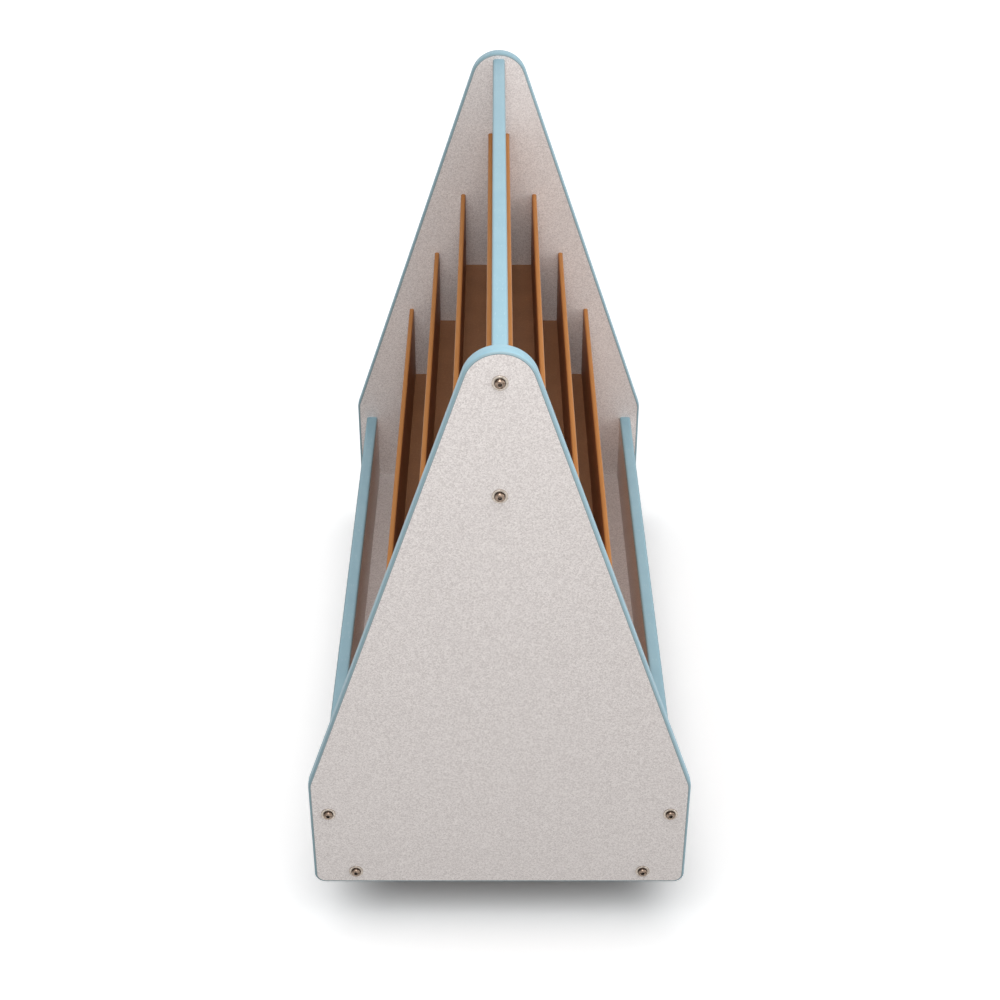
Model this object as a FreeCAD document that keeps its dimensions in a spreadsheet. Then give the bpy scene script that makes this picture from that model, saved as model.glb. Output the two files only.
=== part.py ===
"""Two-sided mobile book display stand, built as the separate pieces that it comes apart into.

Millimetres, +Z up. The origin is on the floor under the middle of the stand. X runs across the stand,
from its left side to its right, and Y runs along it, from the near end panel to the far one.
"""
import FreeCAD, Part
import math
import os
import types

import Sketcher

# Driving dimensions, by the name that each has in the sheet
SIZES = {
    # Whole stand, over the end panels and their edge bands
    "stand_length": 838.2,
    "stand_width": 420.7,
    "panel_height": 689.0,
    # Outline of an end panel
    "side_height": 144.0,  # straight side, from the lower edge to where the shoulder starts
    "foot_radius": 12.7,
    "shoulder_radius": 25.4,
    "crown_radius": 38.1,
    # Laminated boards and their edge bands
    "board_thickness": 15.9,
    "band_thickness": 3.2,
    "band_edge_radius": 2.8,
    # Centre rail
    "rail_height": 177.8,
    "rail_drop": 8.0,  # below the crown of the end panels
    "rail_bolt_inset": 25.4,
    # Base board and lips
    "base_raise": 10.2,  # above the lower edge of the end panels
    "base_bolt_inset": 19.05,
    "lip_height": 118.0,
    "lip_setback": 12.7,  # from the sides of the end panels
    "lip_bolt_drop": 22.0,
    "lip_dowel_rise": 30.0,
    # Hardboard tiers
    "hardboard_thickness": 6.35,
    "hardboard_edge_radius": 2.5,
    "tier_rise": 88.9,
    "tier_going": 38.1,
    "back_height": 196.85,
    "lowest_back_height": 284.0,
    "groove_depth": 6.35,
    "groove_clearance": 0.15,
    "groove_end_gap": 0.4,
    # Connector bolts, washers and barrel nuts
    "bolt_diameter": 6.35,
    "bolt_length": 60.0,
    "bolt_hole_clearance": 0.3,
    "bolt_bore_spare": 3.0,
    "bolt_head_diameter": 11.1,
    "bolt_head_height": 3.4,
    "bolt_head_radius": 2.6,
    "socket_width": 4.0,  # across the flats of the hexagon
    "socket_depth": 2.0,
    "washer_diameter": 15.9,
    "washer_thickness": 1.2,
    "nut_diameter": 10.0,
    "nut_length": 12.0,
    "nut_setback": 35.0,  # from the end of the board
    "nut_clearance": 0.1,
    "thread_clearance": 0.05,
    # Dowels between lips and end panels
    "dowel_diameter": 8.0,
    "dowel_length": 30.0,
    "dowel_panel_depth": 10.0,
    "dowel_clearance": 0.1,
    # Caster places and plates
    "caster_height": 63.5,
    "caster_side_inset": 52.0,  # swivel axis from the side of the base board
    "caster_end_inset": 72.0,  # swivel axis from the inner face of an end panel
    "plate_width": 38.1,
    "plate_corner_radius": 4.0,
    "plate_thickness": 2.5,
    "plate_hole_spacing": 28.6,
    "screw_diameter": 4.2,
    "screw_grip": 12.0,  # length in the base board
    "screw_tip_spare": 1.0,
    "screw_clearance": 0.15,
    "screw_head_diameter": 8.0,
    "screw_head_height": 2.6,
    "screw_head_chamfer": 1.2,
    # Caster kingpin and hood
    "kingpin_diameter": 8.0,
    "kingpin_depth": 24.0,  # length in the hood
    "kingpin_spare": 1.0,
    "flange_diameter": 16.0,
    "flange_thickness": 1.2,
    "swivel_gap": 0.3,
    "pivot_clearance": 0.05,
    "rivet_clearance": 0.02,
    "wheel_trail": 24.0,
    "hood_clearance": 1.8,
    "hood_wall": 2.2,
    "hood_edge_chamfer": 1.0,
    "hood_skirt": 20.0,  # lower edge of the hood above the floor
    "boss_wall": 5.0,
    "boss_bottom": 30.0,
    "web_thickness": 12.0,
    # Caster wheels and axle
    "wheel_diameter": 50.0,
    "wheel_width": 18.0,
    "wheel_side_gap": 0.6,
    "wheel_chamfer": 2.0,
    "wheel_rim": 5.0,
    "wheel_face_recess": 4.0,
    "wheel_disc": 4.0,
    "hub_diameter": 14.0,
    "hub_face_recess": 1.5,
    "rib_count": 6,
    "rib_width": 2.4,
    "rib_height": 2.0,
    "axle_diameter": 6.0,
    "axle_setback": 4.0,  # axle end from the outer face of the wheel
    "axle_end_gap": 0.3,
    "axle_chamfer": 0.6,
    "axle_boss_wall": 4.0,
    # Caster brake
    "pedal_width": 44.0,
    "pedal_low_angle": 8.0,  # angles are about the axle, up from the trailing side
    "pedal_tab_angle": 15.0,
    "pedal_top_angle": 45.5,
    "pedal_gap_angle": 2.5,
    "pedal_tab_length": 13.0,
    "pedal_tab_thickness": 2.6,
    "tongue_low_angle": 28.0,
    "tongue_thickness": 4.0,
    "tongue_clearance": 0.3,
    "tongue_reach": 17.5,  # inner end of the tongue from the axle
    "brake_pin_reach": 21.0,  # pivot pin from the axle
    "brake_pin_angle": 37.0,
    "brake_pin_diameter": 3.0,
    "brake_travel_room": 2.3,  # web cut back behind the pedal
    "brake_slot_angle": 12.0,  # room beside the tongue, each way
    "brake_window_angle": 16.0,  # opening of the hood below the level of the axle
}

doc = FreeCAD.newDocument("book_display_stand")
dims = doc.addObject("Spreadsheet::Sheet", "dims")
for row, (name, number) in enumerate(SIZES.items(), start=1):
    dims.set(f"A{row}", name)
    dims.set(f"B{row}", str(number))
    dims.setAlias(f"B{row}", name)
doc.recompute()


class Size:
    """A number and the sheet formula that gives it, so that what is built with it stays bound."""

    def __init__(self, number, text=None):
        self.number = float(number)
        self.text = text or str(float(number))

    def __add__(self, other):
        other = as_size(other)
        return Size(self.number + other.number, f"({self.text} + {other.text})")

    def __sub__(self, other):
        other = as_size(other)
        return Size(self.number - other.number, f"({self.text} - {other.text})")

    def __mul__(self, other):
        other = as_size(other)
        return Size(self.number * other.number, f"({self.text} * {other.text})")

    def __truediv__(self, other):
        other = as_size(other)
        return Size(self.number / other.number, f"({self.text} / {other.text})")

    def __neg__(self):
        return self * -1

    __rmul__ = __mul__


def as_size(item):
    """Return a size as it is, and a plain number as a size."""
    return item if isinstance(item, Size) else Size(item)


def cosine(angle):
    """Return the cosine of an angle in degrees."""
    return Size(math.cos(math.radians(angle.number)), f"cos({angle.text})")


def sine(angle):
    """Return the sine of an angle in degrees."""
    return Size(math.sin(math.radians(angle.number)), f"sin({angle.text})")


ZERO = Size(0)
FULL_TURN = 360
HALF_TURN = 180
TOLERANCE = 1e-6
TOP_TIER = 1
LOWEST_TIER = 4
SIDES = {"left": -1, "right": 1}
ENDS = {"near": -1, "far": 1}
size = types.SimpleNamespace(**{name: Size(dims.get(name), f"dims.{name}") for name in SIZES})

# Sizes that follow from the driving ones
half_width = size.stand_width / 2
half_length = size.stand_length / 2
half_board = size.board_thickness / 2
inner_half_length = half_length - size.board_thickness
floor_gap = size.caster_height - size.base_raise
base_top = size.base_raise + size.board_thickness
rail_top = size.panel_height - size.rail_drop
rail_bottom = rail_top - size.rail_height
lip_top = size.base_raise + size.lip_height
lip_middle = half_width - size.lip_setback - half_board
base_half_width = lip_middle - half_board
wheel_radius = size.wheel_diameter / 2
well_radius = wheel_radius + size.hood_clearance
hood_radius = well_radius + size.hood_wall
half_web = size.web_thickness / 2
wheel_inner = half_web + size.wheel_side_gap
wheel_outer = wheel_inner + size.wheel_width
axle_half_length = wheel_outer - size.axle_setback
hood_top = size.caster_height - size.plate_thickness - size.flange_thickness - size.swivel_gap

# Heights from here on, as in the ends and boards, are above the lower edge of the end panels
bolt_places = [
    (ZERO, rail_top - size.rail_bolt_inset),
    (ZERO, rail_bottom + size.rail_bolt_inset),
    (-lip_middle, lip_top - size.lip_bolt_drop),
    (lip_middle, lip_top - size.lip_bolt_drop),
    (-(base_half_width - size.base_bolt_inset), size.base_raise + half_board),
    (base_half_width - size.base_bolt_inset, size.base_raise + half_board),
]
rail_bolts = bolt_places[0:2]
lip_bolts = bolt_places[2:4]
base_bolts = bolt_places[4:6]
dowel_height = size.base_raise + size.lip_dowel_rise
dowel_places = [(-lip_middle, dowel_height), (lip_middle, dowel_height)]
bolt_bore_depth = size.bolt_length - size.washer_thickness - size.board_thickness + size.bolt_bore_spare
bolt_hole_radius = size.bolt_diameter / 2 + size.bolt_hole_clearance

pieces = []


def new_body(label, x=ZERO, y=ZERO, z=ZERO, turn=0):
    """Start a piece of its own, placed at x, y, z and turned about Z by the angle in degrees."""
    body = doc.addObject("PartDesign::Body", label)
    body.Label = label
    body.Placement = FreeCAD.Placement(FreeCAD.Vector(), FreeCAD.Rotation(FreeCAD.Vector(0, 0, 1), turn))
    for axis, place in zip("xyz", (x, y, z)):
        body.setExpression(f"Placement.Base.{axis}", place.text)
    pieces.append(body)
    return body


def origin_plane(body, role):
    """Return one of the body's own origin planes."""
    return next(item for item in body.Origin.OriginFeatures if item.Role == role)


def sketch_on(body, role, offset=ZERO):
    """Start a sketch on an origin plane, moved by the offset along its normal: +Z, -Y or +X."""
    sketch = body.newObject("Sketcher::SketchObject", f"{body.Name}_sketch")
    sketch.AttachmentSupport = [(origin_plane(body, role), "")]
    sketch.MapMode = "FlatFace"
    sketch.setExpression("AttachmentOffset.Base.z", offset.text)
    return sketch


def bind(sketch, kind, places, amount):
    """Add a dimension to the sketch and bind it to a size."""
    index = sketch.addConstraint(Sketcher.Constraint(kind, *places, amount.number))
    sketch.setExpression(f"Constraints[{index}]", amount.text)


def bind_point(sketch, element, point, x, y):
    """Fix a point of a sketch element at x, y from the sketch's origin."""
    origin = (-1, 1)
    bind(sketch, "DistanceX", (*origin, element, point), x)
    bind(sketch, "DistanceY", (*origin, element, point), y)


def circle(sketch, x, y, radius):
    """Draw a circle."""
    centre = FreeCAD.Vector(x.number, y.number, 0)
    element = sketch.addGeometry(Part.Circle(centre, FreeCAD.Vector(0, 0, 1), radius.number), False)
    bind_point(sketch, element, 3, x, y)
    bind(sketch, "Radius", (element,), radius)


def arc_between(first, last, radius, turn):
    """Return the arc of under half a circle from one point to another, and which end comes first.

    The centre lies beside the middle of the chord: to its left where the arc turns anticlockwise (1),
    and to its right where it turns clockwise (-1).
    """
    chord = last - first
    offset = math.sqrt(max(radius ** 2 - (chord.Length / 2) ** 2, 0.0))
    left = FreeCAD.Vector(-chord.y, chord.x, 0).normalize()
    centre = (first + last) / 2 + left * (turn * offset)
    start, end = (first, last) if turn > 0 else (last, first)
    angles = [math.atan2(point.y - centre.y, point.x - centre.x) for point in (start, end)]
    whole = Part.Circle(centre, FreeCAD.Vector(0, 0, 1), radius)
    return Part.ArcOfCircle(whole, *angles), (1, 2) if turn > 0 else (2, 1)


def closed_outline(sketch, corners):
    """Draw a closed outline through corners given as (x, y), or as (x, y, radius, turn).

    The side that leaves a corner is straight, or an arc of that radius that turns anticlockwise (1) or
    clockwise (-1).
    """
    points = [FreeCAD.Vector(corner[0].number, corner[1].number, 0) for corner in corners]
    sides = []
    for index, corner in enumerate(corners):
        first = points[index]
        last = points[(index + 1) % len(points)]
        if len(corner) == 2:
            element = sketch.addGeometry(Part.LineSegment(first, last), False)
            ends = (1, 2)
        else:
            arc, ends = arc_between(first, last, corner[2].number, corner[3])
            element = sketch.addGeometry(arc, False)
            bind(sketch, "Radius", (element,), corner[2])
        bind_point(sketch, element, ends[0], corner[0], corner[1])
        sides.append((element, ends))
    for side, following in zip(sides, sides[1:] + sides[:1]):
        ends = (side[0], side[1][1], following[0], following[1][0])
        sketch.addConstraint(Sketcher.Constraint("Coincident", *ends))


def rectangle(sketch, left, bottom, width, height):
    """Draw a rectangle from its lower left corner."""
    right = left + width
    top = bottom + height
    closed_outline(sketch, [(left, bottom), (right, bottom), (right, top), (left, top)])


def rounded_strip(sketch, left, root, width, height, radius, up=1):
    """Draw a strip that stands on its root line with its far corners rounded, up (1) or down (-1)."""
    right = left + width
    far = root + height * up
    near_far = far - radius * up
    closed_outline(sketch, [
        (left, root),
        (right, root),
        (right, near_far, radius, up),
        (right - radius, far),
        (left + radius, far, radius, up),
        (left, near_far),
    ])


def pad(body, sketch, length, side="One side", reverse=False):
    """Raise a sketch into a solid along its normal, against it, or half each way."""
    feature = body.newObject("PartDesign::Pad", f"{body.Name}_pad")
    feature.Profile = sketch
    feature.SideType = side
    feature.Reversed = reverse
    feature.setExpression("Length", length.text)
    doc.recompute()
    return feature


def pocket(body, sketch, depth, side="One side", reverse=False):
    """Cut a sketch into the solid, against its normal or along it, and make sure that it cut."""
    before = body.Shape.Volume
    feature = body.newObject("PartDesign::Pocket", f"{body.Name}_pocket")
    feature.Profile = sketch
    feature.SideType = side
    feature.Reversed = reverse
    feature.setExpression("Length", depth.text)
    doc.recompute()
    if not body.Shape.Volume < before:
        raise RuntimeError(f"{body.Label}: {feature.Name} cuts nothing")
    return feature


def mirror(body, features, role):
    """Repeat features on the other side of an origin plane."""
    feature = body.newObject("PartDesign::Mirrored", f"{body.Name}_mirror")
    feature.Originals = features
    feature.MirrorPlane = (origin_plane(body, role), [""])
    body.Tip = feature
    doc.recompute()
    return feature


def soften(body, kind, amount, chosen):
    """Fillet or chamfer the edges that the test chooses."""
    base = body.Tip
    names = [f"Edge{index}" for index, edge in enumerate(base.Shape.Edges, start=1) if chosen(edge)]
    feature = body.newObject(f"PartDesign::{kind}", f"{body.Name}_{kind.lower()}")
    feature.Base = (base, names)
    feature.setExpression("Radius" if kind == "Fillet" else "Size", amount.text)
    doc.recompute()
    return feature


def is_circle(edge, radius):
    """Tell whether an edge is a whole or part circle of the radius."""
    return isinstance(edge.Curve, Part.Circle) and math.isclose(edge.Curve.Radius, radius.number, abs_tol=TOLERANCE)


# End panels: one outline, inset for the board inside its edge band
def panel_outline(sketch, inset):
    """Draw the end panel's outline, moved in all round by the inset.

    Rounded feet, straight sides, rounded shoulders, straight slopes and a round crown, each tangent to
    the next. A slope touches the shoulder and the crown where both face the same way: the angle of the
    line between their centres, less the angle whose cosine is the difference of the radii over the
    distance of the centres.
    """
    foot_x = half_width - size.foot_radius
    shoulder_x = half_width - size.shoulder_radius
    crown_height = size.panel_height - size.crown_radius
    across = -shoulder_x.number
    rise = (crown_height - size.side_height).number
    radii_differ = (size.shoulder_radius - size.crown_radius).number
    facing = math.atan2(rise, across) - math.acos(radii_differ / math.hypot(across, rise))
    quarter = math.pi / 2
    round_corners = [
        (foot_x, size.foot_radius, size.foot_radius, -quarter, 0),
        (shoulder_x, size.side_height, size.shoulder_radius, 0, facing),
        (ZERO, crown_height, size.crown_radius, facing, math.pi - facing),
        (-shoulder_x, size.side_height, size.shoulder_radius, math.pi - facing, math.pi),
        (-foot_x, size.foot_radius, size.foot_radius, math.pi, math.pi + quarter),
    ]
    arcs = []
    for x, height, radius, start, end in round_corners:
        centre = FreeCAD.Vector(x.number, height.number, 0)
        whole = Part.Circle(centre, FreeCAD.Vector(0, 0, 1), (radius - inset).number)
        arc = Part.ArcOfCircle(whole, start, end)
        element = sketch.addGeometry(arc, False)
        bind_point(sketch, element, 3, x, height)
        bind(sketch, "Radius", (element,), radius - inset)
        arcs.append((element, arc))
    for (element, arc), (following, next_arc) in zip(arcs, arcs[1:] + arcs[:1]):
        line = sketch.addGeometry(Part.LineSegment(arc.EndPoint, next_arc.StartPoint), False)
        sketch.addConstraint(Sketcher.Constraint("Tangent", element, 2, line, 1))
        sketch.addConstraint(Sketcher.Constraint("Tangent", line, 2, following, 1))


def back_edges(tier):
    """Return a tier back's inner face, lower edge and upper edge."""
    inner = half_board + size.tier_going * (tier - TOP_TIER)
    top = base_top + size.lowest_back_height + size.tier_rise * (LOWEST_TIER - tier)
    bottom = base_top if tier == LOWEST_TIER else top - size.back_height
    return inner, bottom, top


def strip_left(side, inner, width):
    """Return the left edge of a strip that lies from its inner face outwards on one side."""
    return inner if side > 0 else -(inner + width)


def tier_floors():
    """Return each tier floor's label, left edge, lower face and width."""
    floors = []
    _, bottom, _ = back_edges(TOP_TIER)
    half_span = back_edges(TOP_TIER + 1)[0]
    floors.append(("top_tier_floor", -half_span, bottom - size.hardboard_thickness, half_span * 2))
    for tier in range(TOP_TIER + 1, LOWEST_TIER):
        inner, bottom, _ = back_edges(tier)
        for name, side in SIDES.items():
            left = strip_left(side, inner, size.tier_going)
            floors.append((f"{name}_tier_floor_{tier}", left, bottom - size.hardboard_thickness, size.tier_going))
    return floors


def end_body(label, end):
    """Start a piece of one end: Y runs in from the outer face, and both ends are the same turned round."""
    turn = 0 if end < 0 else HALF_TURN
    return new_body(label, y=half_length * end, z=floor_gap, turn=turn)


def end_panel(label, end):
    """Make an end panel: board, grooves for the hardboard, bolt holes and dowel holes."""
    body = end_body(label, end)
    sketch = sketch_on(body, "XZ_Plane")
    panel_outline(sketch, size.band_thickness)
    pad(body, sketch, size.board_thickness, reverse=True)

    inner_face = -size.board_thickness
    play = size.groove_clearance
    back_grooves = sketch_on(body, "XZ_Plane", inner_face)
    groove_width = size.hardboard_thickness + play * 2
    for tier in range(TOP_TIER, LOWEST_TIER + 1):
        inner, bottom, top = back_edges(tier)
        for side in SIDES.values():
            left = strip_left(side, inner, size.hardboard_thickness) - play
            height = top - bottom + play * 2
            rounded_strip(back_grooves, left, bottom - play, groove_width, height, size.hardboard_edge_radius)
    pocket(body, back_grooves, size.groove_depth, reverse=True)
    floor_grooves = sketch_on(body, "XZ_Plane", inner_face)
    for _, left, bottom, width in tier_floors():
        rectangle(floor_grooves, left - play, bottom - play, width + play * 2, groove_width)
    pocket(body, floor_grooves, size.groove_depth, reverse=True)

    bolt_holes = sketch_on(body, "XZ_Plane", inner_face)
    for x, height in bolt_places:
        circle(bolt_holes, x, height, bolt_hole_radius)
    pocket(body, bolt_holes, size.board_thickness, reverse=True)
    dowel_holes = sketch_on(body, "XZ_Plane", inner_face)
    for x, height in dowel_places:
        circle(dowel_holes, x, height, size.dowel_diameter / 2 + size.dowel_clearance)
    pocket(body, dowel_holes, size.dowel_panel_depth + size.groove_end_gap, reverse=True)


def end_band(label, end):
    """Make the band round an end panel's edge, with its outer arrises eased."""
    body = end_body(label, end)
    sketch = sketch_on(body, "XZ_Plane")
    panel_outline(sketch, ZERO)
    panel_outline(sketch, size.band_thickness)
    ring = pad(body, sketch, size.board_thickness, reverse=True)
    flat_faces = [face for face in ring.Shape.Faces if math.isclose(face.BoundBox.YLength, 0, abs_tol=TOLERANCE)]
    outer = [edge for face in flat_faces for edge in face.OuterWire.Edges]
    soften(body, "Fillet", size.band_edge_radius, lambda edge: any(edge.isSame(item) for item in outer))


# Fasteners of the ends
def hexagon(sketch, x, y, across_flats):
    """Draw a hexagon with a corner on each side of its centre."""
    corner_count = 6
    step = FULL_TURN / corner_count
    corner_radius = across_flats / 2 / cosine(Size(step / 2))
    turns = [Size(step * index) for index in range(corner_count)]
    closed_outline(sketch, [
        (x + corner_radius * cosine(angle), y + corner_radius * sine(angle)) for angle in turns
    ])


def end_bolts(label, end):
    """Make the six button-head bolts of an end, each with a hexagon socket."""
    body = end_body(label, end)
    seat = size.washer_thickness
    heads = sketch_on(body, "XZ_Plane", seat)
    shanks = sketch_on(body, "XZ_Plane", seat)
    sockets = sketch_on(body, "XZ_Plane", seat + size.bolt_head_height)
    for x, height in bolt_places:
        circle(heads, x, height, size.bolt_head_diameter / 2)
        circle(shanks, x, height, size.bolt_diameter / 2)
        hexagon(sockets, x, height, size.socket_width)
    pad(body, heads, size.bolt_head_height)
    pad(body, shanks, size.bolt_length, reverse=True)
    mid_head = -(seat + size.bolt_head_height / 2).number
    soften(body, "Fillet", size.bolt_head_radius,
           lambda edge: is_circle(edge, size.bolt_head_diameter / 2) and edge.BoundBox.YMax < mid_head)
    pocket(body, sockets, size.socket_depth)


def end_washers(label, end):
    """Make the six flat washers under the bolt heads of an end."""
    body = end_body(label, end)
    sketch = sketch_on(body, "XZ_Plane")
    for x, height in bolt_places:
        circle(sketch, x, height, size.washer_diameter / 2)
        circle(sketch, x, height, bolt_hole_radius)
    pad(body, sketch, size.washer_thickness)


def end_nuts(label, end):
    """Make the six barrel nuts of an end: level in the rail and lips, upright in the base board."""
    body = end_body(label, end)
    depth = size.board_thickness + size.nut_setback
    for places in (rail_bolts, lip_bolts[:1], lip_bolts[1:]):
        level = sketch_on(body, "YZ_Plane", places[0][0])
        for _, height in places:
            circle(level, depth, height, size.nut_diameter / 2)
        pad(body, level, size.nut_length, side="Symmetric")
    upright = sketch_on(body, "XY_Plane", base_bolts[0][1])
    for x, _ in base_bolts:
        circle(upright, x, depth, size.nut_diameter / 2)
    pad(body, upright, size.nut_length, side="Symmetric")
    threads = sketch_on(body, "XZ_Plane", -depth)
    for x, height in bolt_places:
        circle(threads, x, height, size.bolt_diameter / 2 + size.thread_clearance)
    past_both_sides = size.nut_diameter * 2
    pocket(body, threads, past_both_sides, side="Symmetric")


def end_dowels(label, end):
    """Make the two dowels that keep the lips from turning about their bolts."""
    body = end_body(label, end)
    sketch = sketch_on(body, "XZ_Plane", size.dowel_panel_depth - size.board_thickness)
    for x, height in dowel_places:
        circle(sketch, x, height, size.dowel_diameter / 2)
    pad(body, sketch, size.dowel_length, reverse=True)


# Boards between the ends, each bored at both ends for its bolts
def bored_board(body, bolts, dowels, nut_role, nut_face, nut_reverse):
    """Bore a board's ends for bolts and dowels, and sink the barrel nuts from one face."""
    bores = sketch_on(body, "XZ_Plane", inner_half_length)
    for x, height in bolts:
        circle(bores, x, height, bolt_hole_radius)
    cuts = [pocket(body, bores, bolt_bore_depth)]
    nut_holes = sketch_on(body, nut_role, nut_face)
    nut_place = size.nut_setback - inner_half_length
    for x, height in bolts:
        across, along = (nut_place, height) if nut_role == "YZ_Plane" else (x, nut_place)
        circle(nut_holes, across, along, size.nut_diameter / 2 + size.nut_clearance)
    cuts.append(pocket(body, nut_holes, half_board + size.nut_length / 2, reverse=nut_reverse))
    if dowels:
        dowel_holes = sketch_on(body, "XZ_Plane", inner_half_length)
        for x, height in dowels:
            circle(dowel_holes, x, height, size.dowel_diameter / 2 + size.dowel_clearance)
        dowel_depth = size.dowel_length - size.dowel_panel_depth + size.groove_end_gap
        cuts.append(pocket(body, dowel_holes, dowel_depth))
    mirror(body, cuts, "XZ_Plane")


def banded_board(label, middle, bottom, top, bolts, dowels, nut_side):
    """Make an upright board, and the bands on its upper and lower edges as a piece of their own."""
    length = inner_half_length * 2
    left = middle - half_board
    body = new_body(label, z=floor_gap)
    section = sketch_on(body, "XZ_Plane")
    core_bottom = bottom + size.band_thickness
    core_top = top - size.band_thickness
    rectangle(section, left, core_bottom, size.board_thickness, core_top - core_bottom)
    pad(body, section, length, side="Symmetric")
    bored_board(body, bolts, dowels, "YZ_Plane", middle + half_board * nut_side, nut_side < 0)

    bands = new_body(f"{label}_bands", z=floor_gap)
    strips = sketch_on(bands, "XZ_Plane")
    for root, up in ((core_top, 1), (core_bottom, -1)):
        rounded_strip(strips, left, root, size.board_thickness, size.band_thickness, size.band_edge_radius, up)
    pad(bands, strips, length, side="Symmetric")


def caster_places():
    """Return each caster's name and the place of its swivel axis."""
    across = base_half_width - size.caster_side_inset
    along = inner_half_length - size.caster_end_inset
    return {
        f"{end}_{side}": (across * SIDES[side], along * ENDS[end])
        for end in ENDS for side in SIDES
    }


def plate_holes(x, y):
    """Return the places of a caster plate's four screw holes."""
    reach = size.plate_hole_spacing / 2
    return [(x + reach * i, y + reach * j) for i in (-1, 1) for j in (-1, 1)]


def base_board():
    """Make the base board between the lips, with pilot holes for the caster screws."""
    body = new_body("base_board", z=floor_gap)
    section = sketch_on(body, "XZ_Plane")
    rectangle(section, -base_half_width, size.base_raise, base_half_width * 2, size.board_thickness)
    pad(body, section, inner_half_length * 2, side="Symmetric")
    bored_board(body, base_bolts, [], "XY_Plane", size.base_raise, True)
    pilots = sketch_on(body, "XY_Plane", size.base_raise)
    for x, y in caster_places().values():
        for hole_x, hole_y in plate_holes(x, y):
            circle(pilots, hole_x, hole_y, size.screw_diameter / 2 + size.screw_clearance)
    pocket(body, pilots, size.screw_grip + size.screw_tip_spare, reverse=True)


# Hardboard tiers, housed at both ends in the grooves of the end panels
hardboard_length = (inner_half_length + size.groove_depth - size.groove_end_gap) * 2


def tier_back(label, side, tier):
    """Make the upright hardboard at the back of a tier, its upper edge rounded."""
    inner, bottom, top = back_edges(tier)
    body = new_body(label, z=floor_gap)
    section = sketch_on(body, "XZ_Plane")
    left = strip_left(side, inner, size.hardboard_thickness)
    rounded_strip(section, left, bottom, size.hardboard_thickness, top - bottom, size.hardboard_edge_radius)
    pad(body, section, hardboard_length, side="Symmetric")


def tier_floor(label, left, bottom, width):
    """Make the hardboard strip that a tier's contents stand on."""
    strip = doc.addObject("Part::Box", label)
    strip.Label = label
    strip.setExpression("Length", width.text)
    strip.setExpression("Width", hardboard_length.text)
    strip.setExpression("Height", size.hardboard_thickness.text)
    strip.setExpression("Placement.Base.x", left.text)
    strip.setExpression("Placement.Base.y", (-hardboard_length / 2).text)
    strip.setExpression("Placement.Base.z", (bottom + floor_gap).text)
    pieces.append(strip)


# Casters: heights from here on are above the floor, and Y runs from the swivel axis to the trailing side
axle_place = (size.wheel_trail, wheel_radius)


def about_axle(radius, angle):
    """Return the point at a radius and angle about the axle, seen from the side."""
    return axle_place[0] + radius * cosine(angle), axle_place[1] + radius * sine(angle)


def ring_sector(sketch, inner, outer, low, high):
    """Draw the part of a ring about the axle between two angles."""
    closed_outline(sketch, [
        about_axle(inner, low),
        (*about_axle(outer, low), outer, 1),
        about_axle(outer, high),
        (*about_axle(inner, high), inner, -1),
    ])


def caster_plate(label, x, y):
    """Make a caster's mounting plate, with rounded corners, four screw holes and the rivet hole."""
    body = new_body(label, x, y)
    underside = size.caster_height - size.plate_thickness
    blank = sketch_on(body, "XY_Plane", underside)
    rectangle(blank, -size.plate_width / 2, -size.plate_width / 2, size.plate_width, size.plate_width)
    pad(body, blank, size.plate_thickness)
    soften(body, "Fillet", size.plate_corner_radius, lambda edge: edge.BoundBox.ZLength > 0)
    holes = sketch_on(body, "XY_Plane", underside)
    for hole_x, hole_y in plate_holes(ZERO, ZERO):
        circle(holes, hole_x, hole_y, size.screw_diameter / 2 + size.screw_clearance)
    circle(holes, ZERO, ZERO, size.kingpin_diameter / 2 + size.rivet_clearance)
    pocket(body, holes, size.plate_thickness, reverse=True)


def caster_kingpins():
    """Make the kingpins, riveted into the plates, whose flanges bear on the hoods."""
    body = new_body("caster_kingpins")
    flange_bottom = hood_top + size.swivel_gap
    shanks = sketch_on(body, "XY_Plane", hood_top - size.kingpin_depth)
    flanges = sketch_on(body, "XY_Plane", flange_bottom)
    for x, y in caster_places().values():
        circle(shanks, x, y, size.kingpin_diameter / 2)
        circle(flanges, x, y, size.flange_diameter / 2)
    pad(body, shanks, size.caster_height - hood_top + size.kingpin_depth)
    pad(body, flanges, size.flange_thickness)


def caster_screws():
    """Make the pan-head screws that hold the caster plates to the base board."""
    body = new_body("caster_screws")
    seat = size.caster_height - size.plate_thickness
    shanks = sketch_on(body, "XY_Plane", seat)
    heads = sketch_on(body, "XY_Plane", seat)
    for x, y in caster_places().values():
        for hole_x, hole_y in plate_holes(x, y):
            circle(shanks, hole_x, hole_y, size.screw_diameter / 2)
            circle(heads, hole_x, hole_y, size.screw_head_diameter / 2)
    pad(body, shanks, size.plate_thickness + size.screw_grip)
    pad(body, heads, size.screw_head_height, reverse=True)
    under_seat = seat.number - size.screw_head_height.number / 2
    soften(body, "Chamfer", size.screw_head_chamfer,
           lambda edge: is_circle(edge, size.screw_head_diameter / 2) and edge.BoundBox.ZMax < under_seat)


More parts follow.
